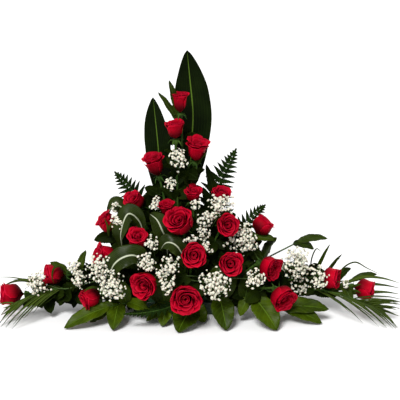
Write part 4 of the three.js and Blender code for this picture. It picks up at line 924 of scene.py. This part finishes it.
class RosePlan:
    """Where one bloom stands, and how it faces."""

    def __init__(self, number):
        pixel_x, pixel_y, depth, (right, up, forward), diameter, height, self.open = ROSES[number - 1]
        self.number = number
        self.diameter = diameter * MM
        self.height = height * MM
        self.axis = Vector((right, -forward, up)).normalized()
        self.middle = place(pixel_x, pixel_y, depth)
        self.foot = self.middle - self.axis * self.height / 2
        turn = Vector((0, 1, 0)).rotation_difference(self.axis)
        self.stand = Matrix.Translation(self.foot) @ turn.to_matrix().to_4x4()
        outer = 5 if diameter >= 54 else 4 if self.open > 0.3 else 3
        self.petals = (outer, max(outer, 4), max(outer, 4), 3, 3)

    def spot(self, radius, turn, lift):
        """A place in the bloom: its way off the axis, its angle round it and its height."""
        return self.stand @ Vector((radius * math.cos(turn), lift, radius * math.sin(turn)))


PLANS = {number: RosePlan(number) for number in range(1, len(ROSES) + 1)}


# A bloom takes up two balls, with their middles at these shares of its height
BALLS = (0.3, 0.62)


def clear_of_blooms(point, reach):
    for plan in PLANS.values():
        for share in BALLS:
            ball = plan.foot + plan.axis * plan.height * share
            if (point - ball).length < plan.diameter * 0.5 + reach:
                return False
    return True


def petal_shape(plan, angle, spread, belly, lip, top, curl, lean, ruffle):
    """A petal that stands round +Y with its foot at the axis: cupped, rounded, with a rolled lip."""
    height = plan.height * top

    def shape(u, v):
        along = v * (1 - 0.36 * (1 - math.sqrt(max(1 - u * u, 0))) + 0.05 * max(1 - 3 * abs(u), 0))
        opening = math.sin(min(along / 0.45, 1) * math.pi / 2)
        reach = max(along - 0.45, 0) / 0.55
        roll = max(along - 0.8, 0) * height * (1 + 0.5 * u * u) / curl
        radius = belly * opening + (lip - belly) * reach * reach * (3 - 2 * reach) + lean * u * along
        radius += curl * (1 - math.cos(roll)) + ruffle * math.sin(u * 3 + angle * 3) * reach
        lift = height * (0.04 + 0.96 * min(along, 0.8)) + curl * math.sin(roll)
        turn = angle + u * spread * min(1, along * 3)
        return plan.spot(radius, turn, lift)

    return shape


HEART_TURNS = 2.1


def heart_shape(plan, angle):
    """The rolled petal in the heart: a spiral that tightens and rises towards the axis."""
    def shape(u, v):
        inward = (u + 1) / 2
        turn = angle + inward * 2 * math.pi * HEART_TURNS
        radius = plan.diameter * (0.115 - 0.095 * inward) * (0.8 + 0.3 * v)
        radius += plan.diameter * 0.03 * max(v - 0.8, 0) * 5
        lift = plan.height * (0.4 + (0.46 - 0.3 * plan.open) * v + 0.03 * inward * v)
        return plan.spot(radius, turn, lift)

    return shape


# Whorls of petals from the outside in: turn against the whorl outside, belly, lip and top, each
# with what it gains where the bloom is fully open
WHORLS = [
    (0.0, (0.48, -0.07), (0.41, 0.02), (1.0, -0.22)),
    (0.5, (0.43, -0.07), (0.36, 0.015), (1.03, -0.16)),
    (0.27, (0.365, -0.05), (0.295, 0.025), (1.04, -0.14)),
    (0.55, (0.29, -0.03), (0.225, 0.03), (1.03, -0.19)),
    (0.3, (0.21, -0.01), (0.155, 0.03), (1.0, -0.28)),
]

# An upright bloom stands like a vase: a slimmer belly under a wider lip
UPRIGHT = 0.88
VASE = (0.76, 0.98, 1)


class CENTERPIECE_OT_roses(bpy.types.Operator):
    """Make the twenty-five rose blooms, petal by petal"""
    bl_idname = "centerpiece.roses"
    bl_label = "Rose blooms"

    def execute(self, context):
        settings = context.scene.centerpiece_roses
        paint = petal_paint(settings)
        for plan in PLANS.values():
            draw = random.Random(plan.number)
            piece = Piece(f"rose_{plan.number:02d}", paint)
            curl = plan.diameter * (0.2 - 0.1 * plan.open) * (1.6 - settings.curl)
            for layer, (count, (turn, belly, lip, top)) in enumerate(zip(plan.petals, WHORLS)):
                sizes = [base + gain * plan.open for base, gain in (belly, lip, top)]
                if plan.axis.z > UPRIGHT:
                    sizes = [size * share for size, share in zip(sizes, VASE)]
                for index in range(count):
                    angle = plan.number * 1.7 + 2 * math.pi * (index + turn) / count
                    loose = draw.uniform(0.9, 1.08)
                    shape = petal_shape(
                        plan,
                        angle + draw.uniform(-0.18, 0.18),
                        draw.uniform(4.1, 4.6) / count,
                        plan.diameter * sizes[0],
                        plan.diameter * sizes[1] * loose,
                        sizes[2] * draw.uniform(0.87, 1.02),
                        curl * draw.uniform(0.8, 1.2),
                        plan.diameter * 0.035,
                        plan.diameter * 0.016,
                    )
                    # Painted shade: the tone is random, and lowered for each whorl further in
                    tone = draw.uniform(0.4, 0.9) - 0.12 * layer
                    piece.sheet(*PETAL_GRID, shape, 0, tone, settings.petal_thickness)
            heart = heart_shape(plan, plan.number * 1.3)
            # Painted shade: the heart is painted darker, the more so the further the bloom is open
            piece.sheet(*HEART_GRID, heart, 0, 0.35 - 0.3 * plan.open, settings.petal_thickness)
            piece.done(f"bloom_{plan.number:02d}")
        return {"FINISHED"}


# Long sepals that lie over a bloom: the rose and the places from its hip to the tip
LONG_SEPALS = [
    (22, [(65, 272, -44), (60, 266, -58), (54, 268, -64), (52, 276, -66), (54, 284, -64)]),
    (12, [(109, 237, -28), (108, 230, -36), (107, 224, -38), (104, 218, -37)]),
    (12, [(109, 236, -28), (109, 229, -36), (111, 224, -38), (113, 219, -36)]),
    (21, [(99, 289, -118), (93, 287, -130), (87, 289, -134), (84, 292, -134)]),
    (25, [(352, 287, -58), (357, 285, -66), (361, 284, -68)]),
    (25, [(352, 290, -58), (357, 291, -66), (361, 293, -68)]),
]


def sepal_outline(v):
    return 2.2 * (v + 0.04)**0.5 * max(1 - v, 0)


# How far off the axis and how high over its foot a sepal's points lie, in millimetres
SEPAL_BEND = [(5, 0), (12.5, -1.5), (18.5, -10.5)]
SEPALS = 5


def add_hip(piece, plan, thickness):
    """The hip under a bloom, and its five sepals turned back."""
    line = Curve([plan.foot + plan.axis * rise * MM for rise in (-13, -6.5, 2)])
    piece.tube(line, lambda v: (3.4 + 4.4 * math.sin(v * 1.9)) * MM, 12, 9)
    for k in range(SEPALS):
        angle = math.pi / 2 + 2 * math.pi * k / SEPALS - plan.number
        curve = Curve([plan.spot(out * MM, angle, rise * MM) for out, rise in SEPAL_BEND])
        shape = leaf_shape(curve, 5 * MM, plan.axis, sepal_outline, -0.3, 0)
        piece.sheet(4, 8, shape, 0, 0.6, thickness)
    for number, spots in LONG_SEPALS:
        if number == plan.number:
            shape = leaf_shape(seen_curve(spots), 6 * MM, FRONT_FACE, sepal_outline, -0.2, 0)
            piece.sheet(4, 14, shape, 1, 0.8, thickness)


# How far the mass of leaves reaches at each height: the height, the left and the right end
LEAF_MASS = [
    (0, -330, 380), (20, -400, 450), (64, -385, 420), (87, -345, 365), (110, -300, 290),
    (133, -226, 262), (167, -200, 232), (202, -190, 202), (236, -160, 178), (270, -126, 122),
    (300, -78, 62), (345, -60, 52), (420, -30, 48),
]


def in_leaf_mass(point):
    across, height = point.x / MM, point.z / MM
    for (low, left, right), (high, next_left, next_right) in zip(LEAF_MASS, LEAF_MASS[1:]):
        if low <= height < high:
            share = (height - low) / (high - low)
            return left + (next_left - left) * share < across < right + (next_right - right) * share
    return False


def seen_at(point):
    """The pixel that a point is seen at."""
    way = point - VIEW_START
    depth = (way.y * COSINE - way.z * SINE) * PIXEL / VIEW_DISTANCE
    return FRAME_MIDDLE + way.x / depth, FRAME_MIDDLE - (way.y * SINE + way.z * COSINE) / depth


def hides_bloom(point, reach):
    """Whether something here stands in front of a bloom or a head of baby's breath."""
    x, y = seen_at(point)

    def over(middle_x, middle_y, limit):
        return math.hypot(x - middle_x, y - middle_y) * PIXEL < limit

    for plan in PLANS.values():
        half = plan.diameter / 2
        if point.y < plan.middle.y + half and over(*seen_at(plan.middle), half + reach):
            return True
    for heads in SPRAYS.values():
        for head_x, head_y, depth, radius in heads:
            if point.y < (depth + radius) * MM and over(head_x, head_y, radius * PIXEL + reach / 2):
                return True
    return False


def has_room(point, height, reach):
    """Whether a leaflet fits here: among the leaves, over a height and clear of the blooms."""
    return in_leaf_mass(point) and point.z > height and clear_of_blooms(point, reach)


def drawn_way(draw, across=(0, 1), back=(0, 1), up=(0, 1)):
    """A random direction, from a mean and a spread for each axis."""
    return Vector((draw.gauss(*across), draw.gauss(*back), draw.gauss(*up))).normalized()


# The three leaflets on a stalk: how far each one turns aside, and its share of the size
LEAFLETS = ((0, 1.0), (-1.1, 0.72), (1.1, 0.72))
TRIES = 8


def add_leaflets(piece, draw, root, thickness):
    """A short stalk with three leaflets, painted dark as shade, where they hide no bloom."""
    for _ in range(TRIES):
        front = draw.random() < 0.75
        way = drawn_way(draw, back=(-0.3 if front else 0.9, 0.6), up=(0.25, 0.6))
        size = draw.uniform(36, 52) * MM
        fork = root + way * draw.uniform(8, 16) * MM
        tip = fork + way * size
        middle = fork.lerp(tip, 0.5)
        if all(has_room(spot, 2 * LOWEST, 3 * MM) for spot in (fork, middle, tip)) and not (
                hides_bloom(middle, 10 * MM) or hides_bloom(tip, 2 * MM)):
            break
    else:
        return
    face = Vector((0.3 * draw.gauss(0, 1), -1 if front else 1, 0.5)).normalized()
    side = way.cross(face).normalized()
    stalk = Curve([root - way * 2 * MM, root.lerp(fork, 0.5), fork + way * 3 * MM])
    piece.tube(stalk, lambda v: TWIG, 4, 3)
    for lean, share in LEAFLETS:
        run = (way * math.cos(lean) + side * math.sin(lean)) * size * share
        start = fork - way * (2 * MM if lean else 0)
        end = start + run
        if has_room(end, LOWEST, 0) and not hides_bloom(end, 0):
            shape = leaf_shape(bowed(start, end, 3 * MM), size * share * 0.62, face, wave=1.2)
            piece.sheet(4, 7, shape, 2, draw.random(), thickness)


# The steps between leaflets along a rose stem, in millimetres, and the bunches with the wide one
WIDE_STEP, CLOSE_STEP = 10, 6
SPARSE_BUNCHES = ("rose_stems_crown", "rose_stems_centre", "rose_stems_front")
THORN_STEP = 34
# The single leaves on the rose stems, each with the side that it faces and its paint
ROSE_STEM_LEAVES = [(row, SKIRT_FACE, 1) for row in ROSE_LEAVES] + [
    (row, FILLER_FACE, 2) for row in FILLER_LEAVES]


class CENTERPIECE_OT_rose_stems(bpy.types.Operator):
    """Make the rose stems with their hips, sepals, thorns and leaves"""
    bl_idname = "centerpiece.rose_stems"
    bl_label = "Rose stems"

    def execute(self, context):
        radius = context.scene.centerpiece_roses.stem_width / 2
        foliage = context.scene.centerpiece_foliage
        stem = stem_paint()
        leaf = leaf_paint("Rose leaf", blend(foliage.bright, foliage.dark, 0.5),
                          (0.07, 0.11, 0.03), 8, gloss=0.42, shine=0.05)
        # Painted shade: a darker copy of the rose leaf for the leaves and leaflets in the gaps behind
        # the blooms
        shade = leaf_paint("Shaded leaf", blend(foliage.bright, foliage.dark, 0.88),
                           (0.012, 0.022, 0.005), 7, gloss=0.4, shine=0.02)
        for name, numbers in ROSE_BUNCHES.items():
            draw = random.Random(name)
            piece = Piece(f"{name}_leafy", stem, leaf, shade)
            lines = dict(zip(numbers, stem_lines(name)))
            for number, line in lines.items():
                plan = PLANS[number]
                piece.rod([*line, plan.foot - plan.axis * 8 * MM], radius)
                add_hip(piece, plan, foliage.leaf_thickness)
                for distance in range(60, int(length_of(line) / MM) - 20, THORN_STEP):
                    root = travelled(line, distance * MM)
                    out = Vector((draw.uniform(-1, 1), draw.uniform(-1, 1), 0.4)).normalized()
                    thorn = Curve([root, root + out * 4 * MM, root + out * 7 * MM])
                    piece.tube(thorn, lambda v: 1.7 * MM * (1.02 - v), 5, 4, 0, 0.3)
            for row, face, paint in ROSE_STEM_LEAVES:
                number, base, tip, width = row
                if number in lines:
                    tip = place(*tip)
                    curve = bowed(leaf_base(lines[number], place(*base), tip), tip, 5 * MM)
                    shape = leaf_shape(curve, width * MM, face, wave=0.05 * width, teeth=12)
                    piece.sheet(*ROSE_LEAF_GRID, shape, paint, draw.random(), foliage.leaf_thickness)
            step = WIDE_STEP if name in SPARSE_BUNCHES else CLOSE_STEP
            for line in lines.values():
                for distance in range(14, int(length_of(line) / MM) - 24, step):
                    add_leaflets(piece, draw, travelled(line, distance * MM), foliage.leaf_thickness)
            piece.done(name)
        return {"FINISHED"}


def floret_mesh(size):
    """One floret: a green cup that opens into a ruffled ball of petals."""
    piece = Piece("floret")

    def shape(u, v):
        turn = math.pi * (u + 1)
        ruffle = 1 + 0.24 * math.cos(turn * 4) * (v > 0.3)
        radius = size / 2 * math.sin(math.pi * min(v * 1.05, 1)**0.8) * ruffle
        rise = size * (v * 0.85 - 0.25) - 0.16 * size * (v > 0.99)
        height = rise if v < 1 else size * 0.45
        return Vector((radius * math.cos(turn), radius * math.sin(turn), height))

    piece.sheet(8, 4, shape, closed=True)
    return piece.data()


def add_floret(piece, floret, matrix, tone):
    """One more floret, from the mesh that all of them share."""
    tones = floret.attributes["tone"].data
    tones.foreach_set("value", [tone] * len(tones))
    floret.transform(matrix)
    piece.mesh.from_mesh(floret)
    floret.transform(matrix.inverted())


def add_head(piece, floret, settings, draw, root, middle, radius, outward):
    """One head: forks from the end of its stem, and florets on stalks from each fork."""
    count = int(math.pi * (radius * 100)**2 * settings.density)
    forks = []
    for _ in range(max(4, count // 7)):
        way = drawn_way(draw) + outward * 0.9
        fork = root.lerp(middle + way.normalized() * radius * draw.uniform(0.2, 0.75), 0.8)
        if clear_of_blooms(fork, -2 * MM):
            forks.append(fork)
            bend = (root + fork) / 2 - Vector((0, 0, radius * 0.08))
            piece.tube(Curve([root, bend, fork]), lambda v: FORK, 3, 4, 1)
    for _ in range(count if forks else 0):
        way = drawn_way(draw) + outward * 0.45
        spot = middle + way.normalized() * radius * draw.uniform(0.45, 1.12)
        if spot.z < LOWEST + settings.floret or not clear_of_blooms(spot, settings.floret * 0.45):
            continue
        fork = min(forks, key=lambda point: (point - spot).length * draw.uniform(0.8, 1.6))
        lean = (spot - fork).normalized()
        turn = Vector((0, 0, 1)).rotation_difference((lean + outward * 0.6).normalized())
        scale = draw.uniform(0.55, 1.15)
        piece.tube(Curve([fork, (fork + spot) / 2, spot]), lambda v: FLORET_STALK, 3, 3, 1)
        spin = Quaternion((0, 0, 1), draw.uniform(0, 6))
        stand = Matrix.LocRotScale(spot, turn @ spin, (scale,) * 3)
        add_floret(piece, floret, stand, draw.uniform(0.35, 1.0))


class CENTERPIECE_OT_babys_breath(bpy.types.Operator):
    """Make the sprays of baby's breath with their forked stalks"""
    bl_idname = "centerpiece.babys_breath"
    bl_label = "Baby's breath"

    def execute(self, context):
        settings = context.scene.centerpiece_breath
        stalk = stalk_paint()
        white = floret_paint(settings)
        floret = floret_mesh(settings.floret)
        for name, heads in SPRAYS.items():
            draw = random.Random(name)
            piece = Piece(f"{name}_spray", white, stalk)
            lines = stem_lines(name)
            meet = lines[0][0]
            middles = [(place(*middle), radius * PIXEL) for *middle, radius in heads] or [
                (millimetres(*middle), radius * MM) for middle, radius in BACK_HEADS]
            for (middle, radius), line in zip(middles, lines):
                piece.rod(line, SPRAY_STEM, 6, 1)
                outward = (middle - meet).normalized()
                outward += Vector((0, math.copysign(0.7, middle.y - meet.y), 0.1))
                outward.normalize()
                add_head(piece, floret, settings, draw, line[-1], middle, radius, outward)
            for *middle, radius in SMALL_HEADS.get(name, []):
                middle = place(*middle)
                root = nearest_on(lines, middle)
                end = root.lerp(middle, 0.7)
                piece.rod([root, end], TWIG, 5, 1)
                forward = Vector((0, -1, 0))
                add_head(piece, floret, settings, draw, end, middle, radius * PIXEL, forward)
            piece.done(name)
        return {"FINISHED"}


class CENTERPIECE_OT_long_leaves(bpy.types.Operator):
    """Make the long aspidistra leaves"""
    bl_idname = "centerpiece.long_leaves"
    bl_label = "Aspidistra leaves"

    def execute(self, context):
        settings = context.scene.centerpiece_foliage
        stem = stem_paint()
        blade = leaf_paint("Aspidistra blade", settings.dark, (0.1, 0.18, 0.02), 7, rib=0.03,
                           gloss=0.26, parallel=True, shine=0.03, contrast=0.03)
        # The near-white midrib is partly the leaf's pale midrib and partly a painted highlight along
        # the fold
        folded = leaf_paint("Folded aspidistra blade", blend(settings.dark, settings.bright, 0.35),
                            (0.56, 0.6, 0.44), 7, rib=0.062, gloss=0.2, parallel=True, shine=0.1,
                            contrast=0.04)
        for name, (width, face, points) in LONG_LEAVES.items():
            looped = "loop" in name
            piece = Piece(f"{name}_blade", stem, folded if looped else blade)
            curve = seen_curve(points)
            piece.stalk(stem_lines(name)[0], curve, BRANCH)
            fold, wave, frill = (0.34, 4.5, 2.2) if looped else (0.16, 3, 1.2)
            shape = leaf_shape(curve, width * MM, face, lance, fold, wave, 1.5, frill=frill)
            piece.sheet(*LONG_LEAF_GRID, shape, 1, 0.5, settings.leaf_thickness)
            piece.done(name)
        return {"FINISHED"}


TAPERS = {
    "fern": lambda v: max(0, 1 - v)**0.75,
    "palm": lambda v: min(1, 0.6 + 2 * v) * max(0, 1 - v)**0.4,
}
# How far the leaflets hang at their tips on the near side and on the far one, where they may rise
DROOPS = {"fern": (0.12, 0.12), "palm": (0.7, -0.5)}


def add_frond(name, stem, blade, thickness):
    """A frond on its stalk, with leaflets in pairs along the rib."""
    reach, count, sweep, face, points = FRONDS[name]
    kind = name.split("_")[0]
    fern = kind == "fern"
    draw = random.Random(name)
    face = Vector(face)
    curve = seen_curve(points)
    width = FERN_RIB if fern else PALM_RIB
    piece = Piece(f"{name}_frond", stem, blade)

    def add_leaflet(line, rows, *form):
        piece.sheet(4, rows, leaf_shape(line, *form), 1, draw.random(), thickness * 0.8)

    piece.stalk(stem_lines(name)[0], curve, width)
    piece.tube(curve, lambda v: width * (1.1 - 0.9 * v), 8, 24)
    spacing = length_of([curve.at(k / 12) for k in range(13)]) / count
    for index in range(count):
        share = (index + 0.5) / count
        if fern:
            share = 1 - (1 - share)**1.25
        middle, heading = curve.at(share), curve.heading(share)
        side = heading.cross(face).normalized()
        for sign in (-1, 1):
            far = side.y * sign > 0
            size = reach * MM * TAPERS[kind](share) * draw.uniform(0.92, 1.02)
            if fern:
                lean = sweep * draw.uniform(0.85, 1.05) * (1 + share)
                run = (side * sign + heading * lean) * size
            else:
                lean = sweep * (0.65 + 0.5 * share) * draw.uniform(0.85, 1.1)
                run = (side * sign + heading * lean).normalized() * size * 2.6
                room = (CAD_BOX[run.x > 0][0] - middle.x) / run.x
                run *= min(1, room * draw.uniform(0.85, 1))
            tip = middle + run
            drop = DROOPS[kind][far] * size * draw.uniform(0.3, 1.1) * (0.3 + share if far else 1)
            tip.z = max(tip.z - drop, LOWEST + 0.5 * MM)
            line = bowed(middle, tip, (0.08 if fern else 0.3) * size)
            spared = (-6 if far else -13) * MM
            if fern:
                add_leaflet(line, 28, spacing * (1.65 - 0.75 * share), face, pinna, 0.1, 0.3)
            elif not any(hides_bloom(line.at(spot), spared) for spot in (0.3, 0.5, 0.7, 0.95)):
                add_leaflet(line, 14, 5 * MM, face, strap, 0.35, 0.3)
    for points in PALM_BLADES.get(name, []):
        add_leaflet(seen_curve(points), 20, PALM_BLADE_WIDTH, PALM_BLADE_FACE, strap, 0.35, 0.3)
    if fern:
        end = curve.heading(1)
        line = bowed(curve.at(1) - end * 12 * MM, curve.at(1) + end * 4 * MM, 0)
        piece.sheet(4, 14, leaf_shape(line, 6 * MM, face, pinna, 0.1, 0), 1, 0.5, thickness * 0.8)
    piece.done(name)


class CENTERPIECE_OT_fronds(bpy.types.Operator):
    """Make the fern and palm fronds, leaflet by leaflet"""
    bl_idname = "centerpiece.fronds"
    bl_label = "Ferns and palms"

    def execute(self, context):
        settings = context.scene.centerpiece_foliage
        stem = stem_paint()
        fern = leaf_paint("Fern leaflet", settings.fern, (0.02, 0.045, 0.01), 10,
                          gloss=0.5, shine=0.03)
        # The pale midrib is partly the leaflet's own and partly a painted highlight along it
        palm = leaf_paint("Palm leaflet", settings.palm, (0.12, 0.17, 0.04), 4, rib=0.14, gloss=0.36,
                          parallel=True, shine=0.08)
        for name in FRONDS:
            add_frond(name, stem, fern if name.startswith("fern") else palm, settings.leaf_thickness)
        return {"FINISHED"}


def back_leaves(lines):
    """The leaves on the back branches, as base, tip, width and face."""
    leaves = []
    for line in lines[1:]:
        length = length_of(line)
        tall = line[-1].z > TALL_BRANCH
        count = 3 if tall else 2
        for index in range(count):
            distance = length * (1 - 0.62 * index / count)
            base = travelled(line, min(distance, length - LEAF_OVERLAP))
            along = (base - travelled(line, distance - 5 * MM)).normalized()
            side = along.cross(Vector((0, 0, 1))).normalized()
            sign = 0 if index == 0 else (-1)**index
            run = along * 0.75 + side * 0.9 * sign + Vector((0, 0.3, 0.1 if tall else -0.2))
            tip = base + run.normalized() * BACK_LEAF_LENGTH * MM * (1 - 0.06 * index)
            tip.z = max(tip.z, LOWEST + MM)
            leaves.append((base, tip, BACK_LEAF_WIDTH, (0, 0.6, 0.8), 8))
    return leaves


class CENTERPIECE_OT_salal(bpy.types.Operator):
    """Make the broad salal leaves on their branches"""
    bl_idname = "centerpiece.salal"
    bl_label = "Salal branches"

    def execute(self, context):
        settings = context.scene.centerpiece_foliage
        stem = stem_paint()
        leaf = leaf_paint("Salal leaf", settings.bright, (0.08, 0.15, 0.01), 7, rib=0.03, gloss=0.2,
                          contrast=0.14)
        # A darker green: on all the leaves of salal_right, and as painted shade on the upright leaves
        # behind the skirt
        darker_green_and_shade = leaf_paint("Deep green and shaded leaf", blend(settings.bright, settings.dark, 0.65),
                          (0.04, 0.08, 0.01), 7, rib=0.035, gloss=0.22, contrast=0.12)
        for name in [*SALAL, "salal_back"]:
            draw = random.Random(name)
            lines = stem_lines(name)
            piece = Piece(f"{name}_branch", stem, darker_green_and_shade if name == "salal_right" else leaf, darker_green_and_shade)
            for line in lines:
                piece.rod(line, BRANCH)
            leaves = back_leaves(lines) if name == "salal_back" else []
            for branch, base, tip, width, *face in SALAL.get(name, []):
                tip = point_of(tip)
                base = leaf_base(lines[branch], place(*base), tip)
                leaves.append((base, tip, width, face[0] if face else SKIRT_FACE, 10))
            for points in GRASS if name == "salal_right" else []:
                shape = leaf_shape(seen_curve(points), 3.2 * MM, FILLER_FACE, strap, 0.4, 0)
                piece.sheet(2, 20, shape, 1, 0.9, 0.5 * MM)
            for base, tip, width, face, bow in leaves:
                curve = bowed(base, tip, bow * MM)
                shape = leaf_shape(curve, width * MM, face, wave=0.035 * width, frill=0.02 * width)
                # Painted shade: leaves that stand up facing forward, behind the skirt, take the
                # darker paint
                paint = 2 if face[1] < -0.9 else 1
                piece.sheet(*BROAD_LEAF_GRID, shape, paint, draw.random(), settings.leaf_thickness)
            piece.done(name)
        return {"FINISHED"}


# Tray and foam: length and depth, the radius of the corners, and the section, which tells how far
# each ring stands in from the full size and how far it rises over the one before
TRAY = (244, 128), 28, [(9, 0), (5.6, 0.4), (4.4, 2.2), (0.6, 27), (0, 0.5), (-0.2, 1.2), (0.4, 0.7),
                        (1.6, 0.2), (2.4, -0.9), (6.6, -27.5), (8.2, -1.4)]
FOAM = (214, 104), 10, [(2, 3.3), (0.5, 1), (0, 2), (0, 68), (0.5, 3), (2, 1.6), (4, 0.4)]
CORNER_STEPS = 64


def add_block(mesh, full, corner, section):
    """A body of rounded oblong rings, closed at both ends."""
    def stands_in(inset):
        return [side - 2 * inset for side in full]

    inset, rise = section[0]
    size = stands_in(inset)
    ring = bmesh.ops.create_circle(mesh, segments=CORNER_STEPS, radius=1)["verts"]
    for vertex in ring:
        turn = math.atan2(vertex.co.y, vertex.co.x)
        x, y = (math.copysign(side / 2 - corner, part) + corner * part
                for side, part in zip(size, (math.cos(turn), math.sin(turn))))
        vertex.co = millimetres(x, y, rise)
    edges = list(dict.fromkeys(edge for vertex in ring for edge in vertex.link_edges))
    bmesh.ops.contextual_create(mesh, geom=edges)
    for inset, rise in section[1:]:
        last, size = size, stands_in(inset)
        made = bmesh.ops.extrude_edge_only(mesh, edges=edges)["geom"]
        edges = [item for item in made if isinstance(item, bmesh.types.BMEdge)]
        verts = [item for item in made if isinstance(item, bmesh.types.BMVert)]
        bmesh.ops.scale(mesh, vec=(size[0] / last[0], size[1] / last[1], 1), verts=verts)
        bmesh.ops.translate(mesh, vec=(0, 0, rise * MM), verts=verts)
    bmesh.ops.contextual_create(mesh, geom=edges)
    bmesh.ops.recalc_face_normals(mesh, faces=mesh.faces)


class CENTERPIECE_OT_tray(bpy.types.Operator):
    """Make the tray and the block of wet foam in it"""
    bl_idname = "centerpiece.tray"
    bl_label = "Tray and foam"

    def execute(self, context):
        settings = context.scene.centerpiece_vessel
        tray = Piece("tray_shell", tray_paint(settings))
        add_block(tray.mesh, *TRAY)
        for face in tray.mesh.faces:
            face.smooth = abs(face.normal.z) < 0.99
        tray.done("tray")

        foam = Piece("foam_block", foam_paint(settings))
        add_block(foam.mesh, *FOAM)
        foam.done("foam")
        return {"FINISHED"}


# Where the soft lights shine to
KEY_WAY = (0.32, 0.78, -0.95)
FILL_WAY = (-0.35, -0.9, -0.7)
FLOOR_REACH = 30


class CENTERPIECE_OT_stage(bpy.types.Operator):
    """Make the floor, the lights and the camera"""
    bl_idname = "centerpiece.stage"
    bl_label = "Floor, light and camera"

    def execute(self, context):
        settings = context.scene.centerpiece_stage
        scene = context.scene
        scene.view_settings.view_transform = "Standard"
        ground = Piece("floor")
        bmesh.ops.create_grid(ground.mesh, x_segments=1, y_segments=1, size=FLOOR_REACH)
        floor = add_object("floor", ground.data())
        paint = Paint("Pale floor")
        colour = paint.shade(tuple(settings.floor), 0.985 + 0.03 * paint.noise(3))
        floor.data.materials.append(paint.finish(colour, 0.9))

        world = bpy.data.worlds.new("Soft studio")
        world.use_nodes = True
        sky = world.node_tree.nodes["Background"].inputs
        sky["Color"].default_value = (1, 1, 1, 1)
        sky["Strength"].default_value = settings.sky
        scene.world = world

        for name, strength, spread, way in (
            ("key", settings.key_strength, settings.key_softness, KEY_WAY),
            ("fill", settings.fill_strength, 2 * settings.key_softness, FILL_WAY),
        ):
            lamp = bpy.data.lights.new(name, "SUN")
            lamp.energy = strength
            lamp.angle = spread
            add_object(name, lamp).rotation_euler = Vector(way).to_track_quat("-Z", "Y").to_euler()

        lens = bpy.data.cameras.new("camera")
        lens.sensor_width = SENSOR
        lens.lens = SENSOR * VIEW_DISTANCE / (FRAME_PIXELS * PIXEL)
        camera = add_object("camera", lens)
        camera.location = VIEW_START
        camera.rotation_euler = (math.pi / 2 - VIEW_TILT, 0, 0)
        scene.camera = camera
        return {"FINISHED"}


class CENTERPIECE_PT_panel(bpy.types.Panel):
    """The pieces of the arrangement in the sidebar"""
    bl_idname = "CENTERPIECE_PT_panel"
    bl_label = "Pyramid rose centerpiece"
    bl_space_type = "VIEW_3D"
    bl_region_type = "UI"
    bl_category = "Centerpiece"

    def draw(self, context):
        for group in GROUPS:
            settings = getattr(context.scene, group)
            box = self.layout.box()
            for key in settings.__annotations__:
                box.prop(settings, key)
        for operator in OPERATORS:
            self.layout.operator(operator.bl_idname)


GROUPS = {
    "centerpiece_roses": RoseSettings,
    "centerpiece_breath": BreathSettings,
    "centerpiece_foliage": FoliageSettings,
    "centerpiece_vessel": VesselSettings,
    "centerpiece_stage": StageSettings,
}
OPERATORS = [
    CENTERPIECE_OT_tray,
    CENTERPIECE_OT_rose_stems,
    CENTERPIECE_OT_roses,
    CENTERPIECE_OT_babys_breath,
    CENTERPIECE_OT_long_leaves,
    CENTERPIECE_OT_fronds,
    CENTERPIECE_OT_salal,
    CENTERPIECE_OT_stage,
]


def register():
    for group in GROUPS.values():
        bpy.utils.register_class(group)
    for name, group in GROUPS.items():
        setattr(bpy.types.Scene, name, bpy.props.PointerProperty(type=group))
    for operator in OPERATORS:
        bpy.utils.register_class(operator)
    bpy.utils.register_class(CENTERPIECE_PT_panel)


def unregister():
    bpy.utils.unregister_class(CENTERPIECE_PT_panel)
    for operator in reversed(OPERATORS):
        bpy.utils.unregister_class(operator)
    for name, group in GROUPS.items():
        delattr(bpy.types.Scene, name)
        bpy.utils.unregister_class(group)


def main():
    register()
    for operator in OPERATORS:
        group, name = operator.bl_idname.split(".")
        getattr(getattr(bpy.ops, group), name)()


if __name__ == "__main__":
    main()
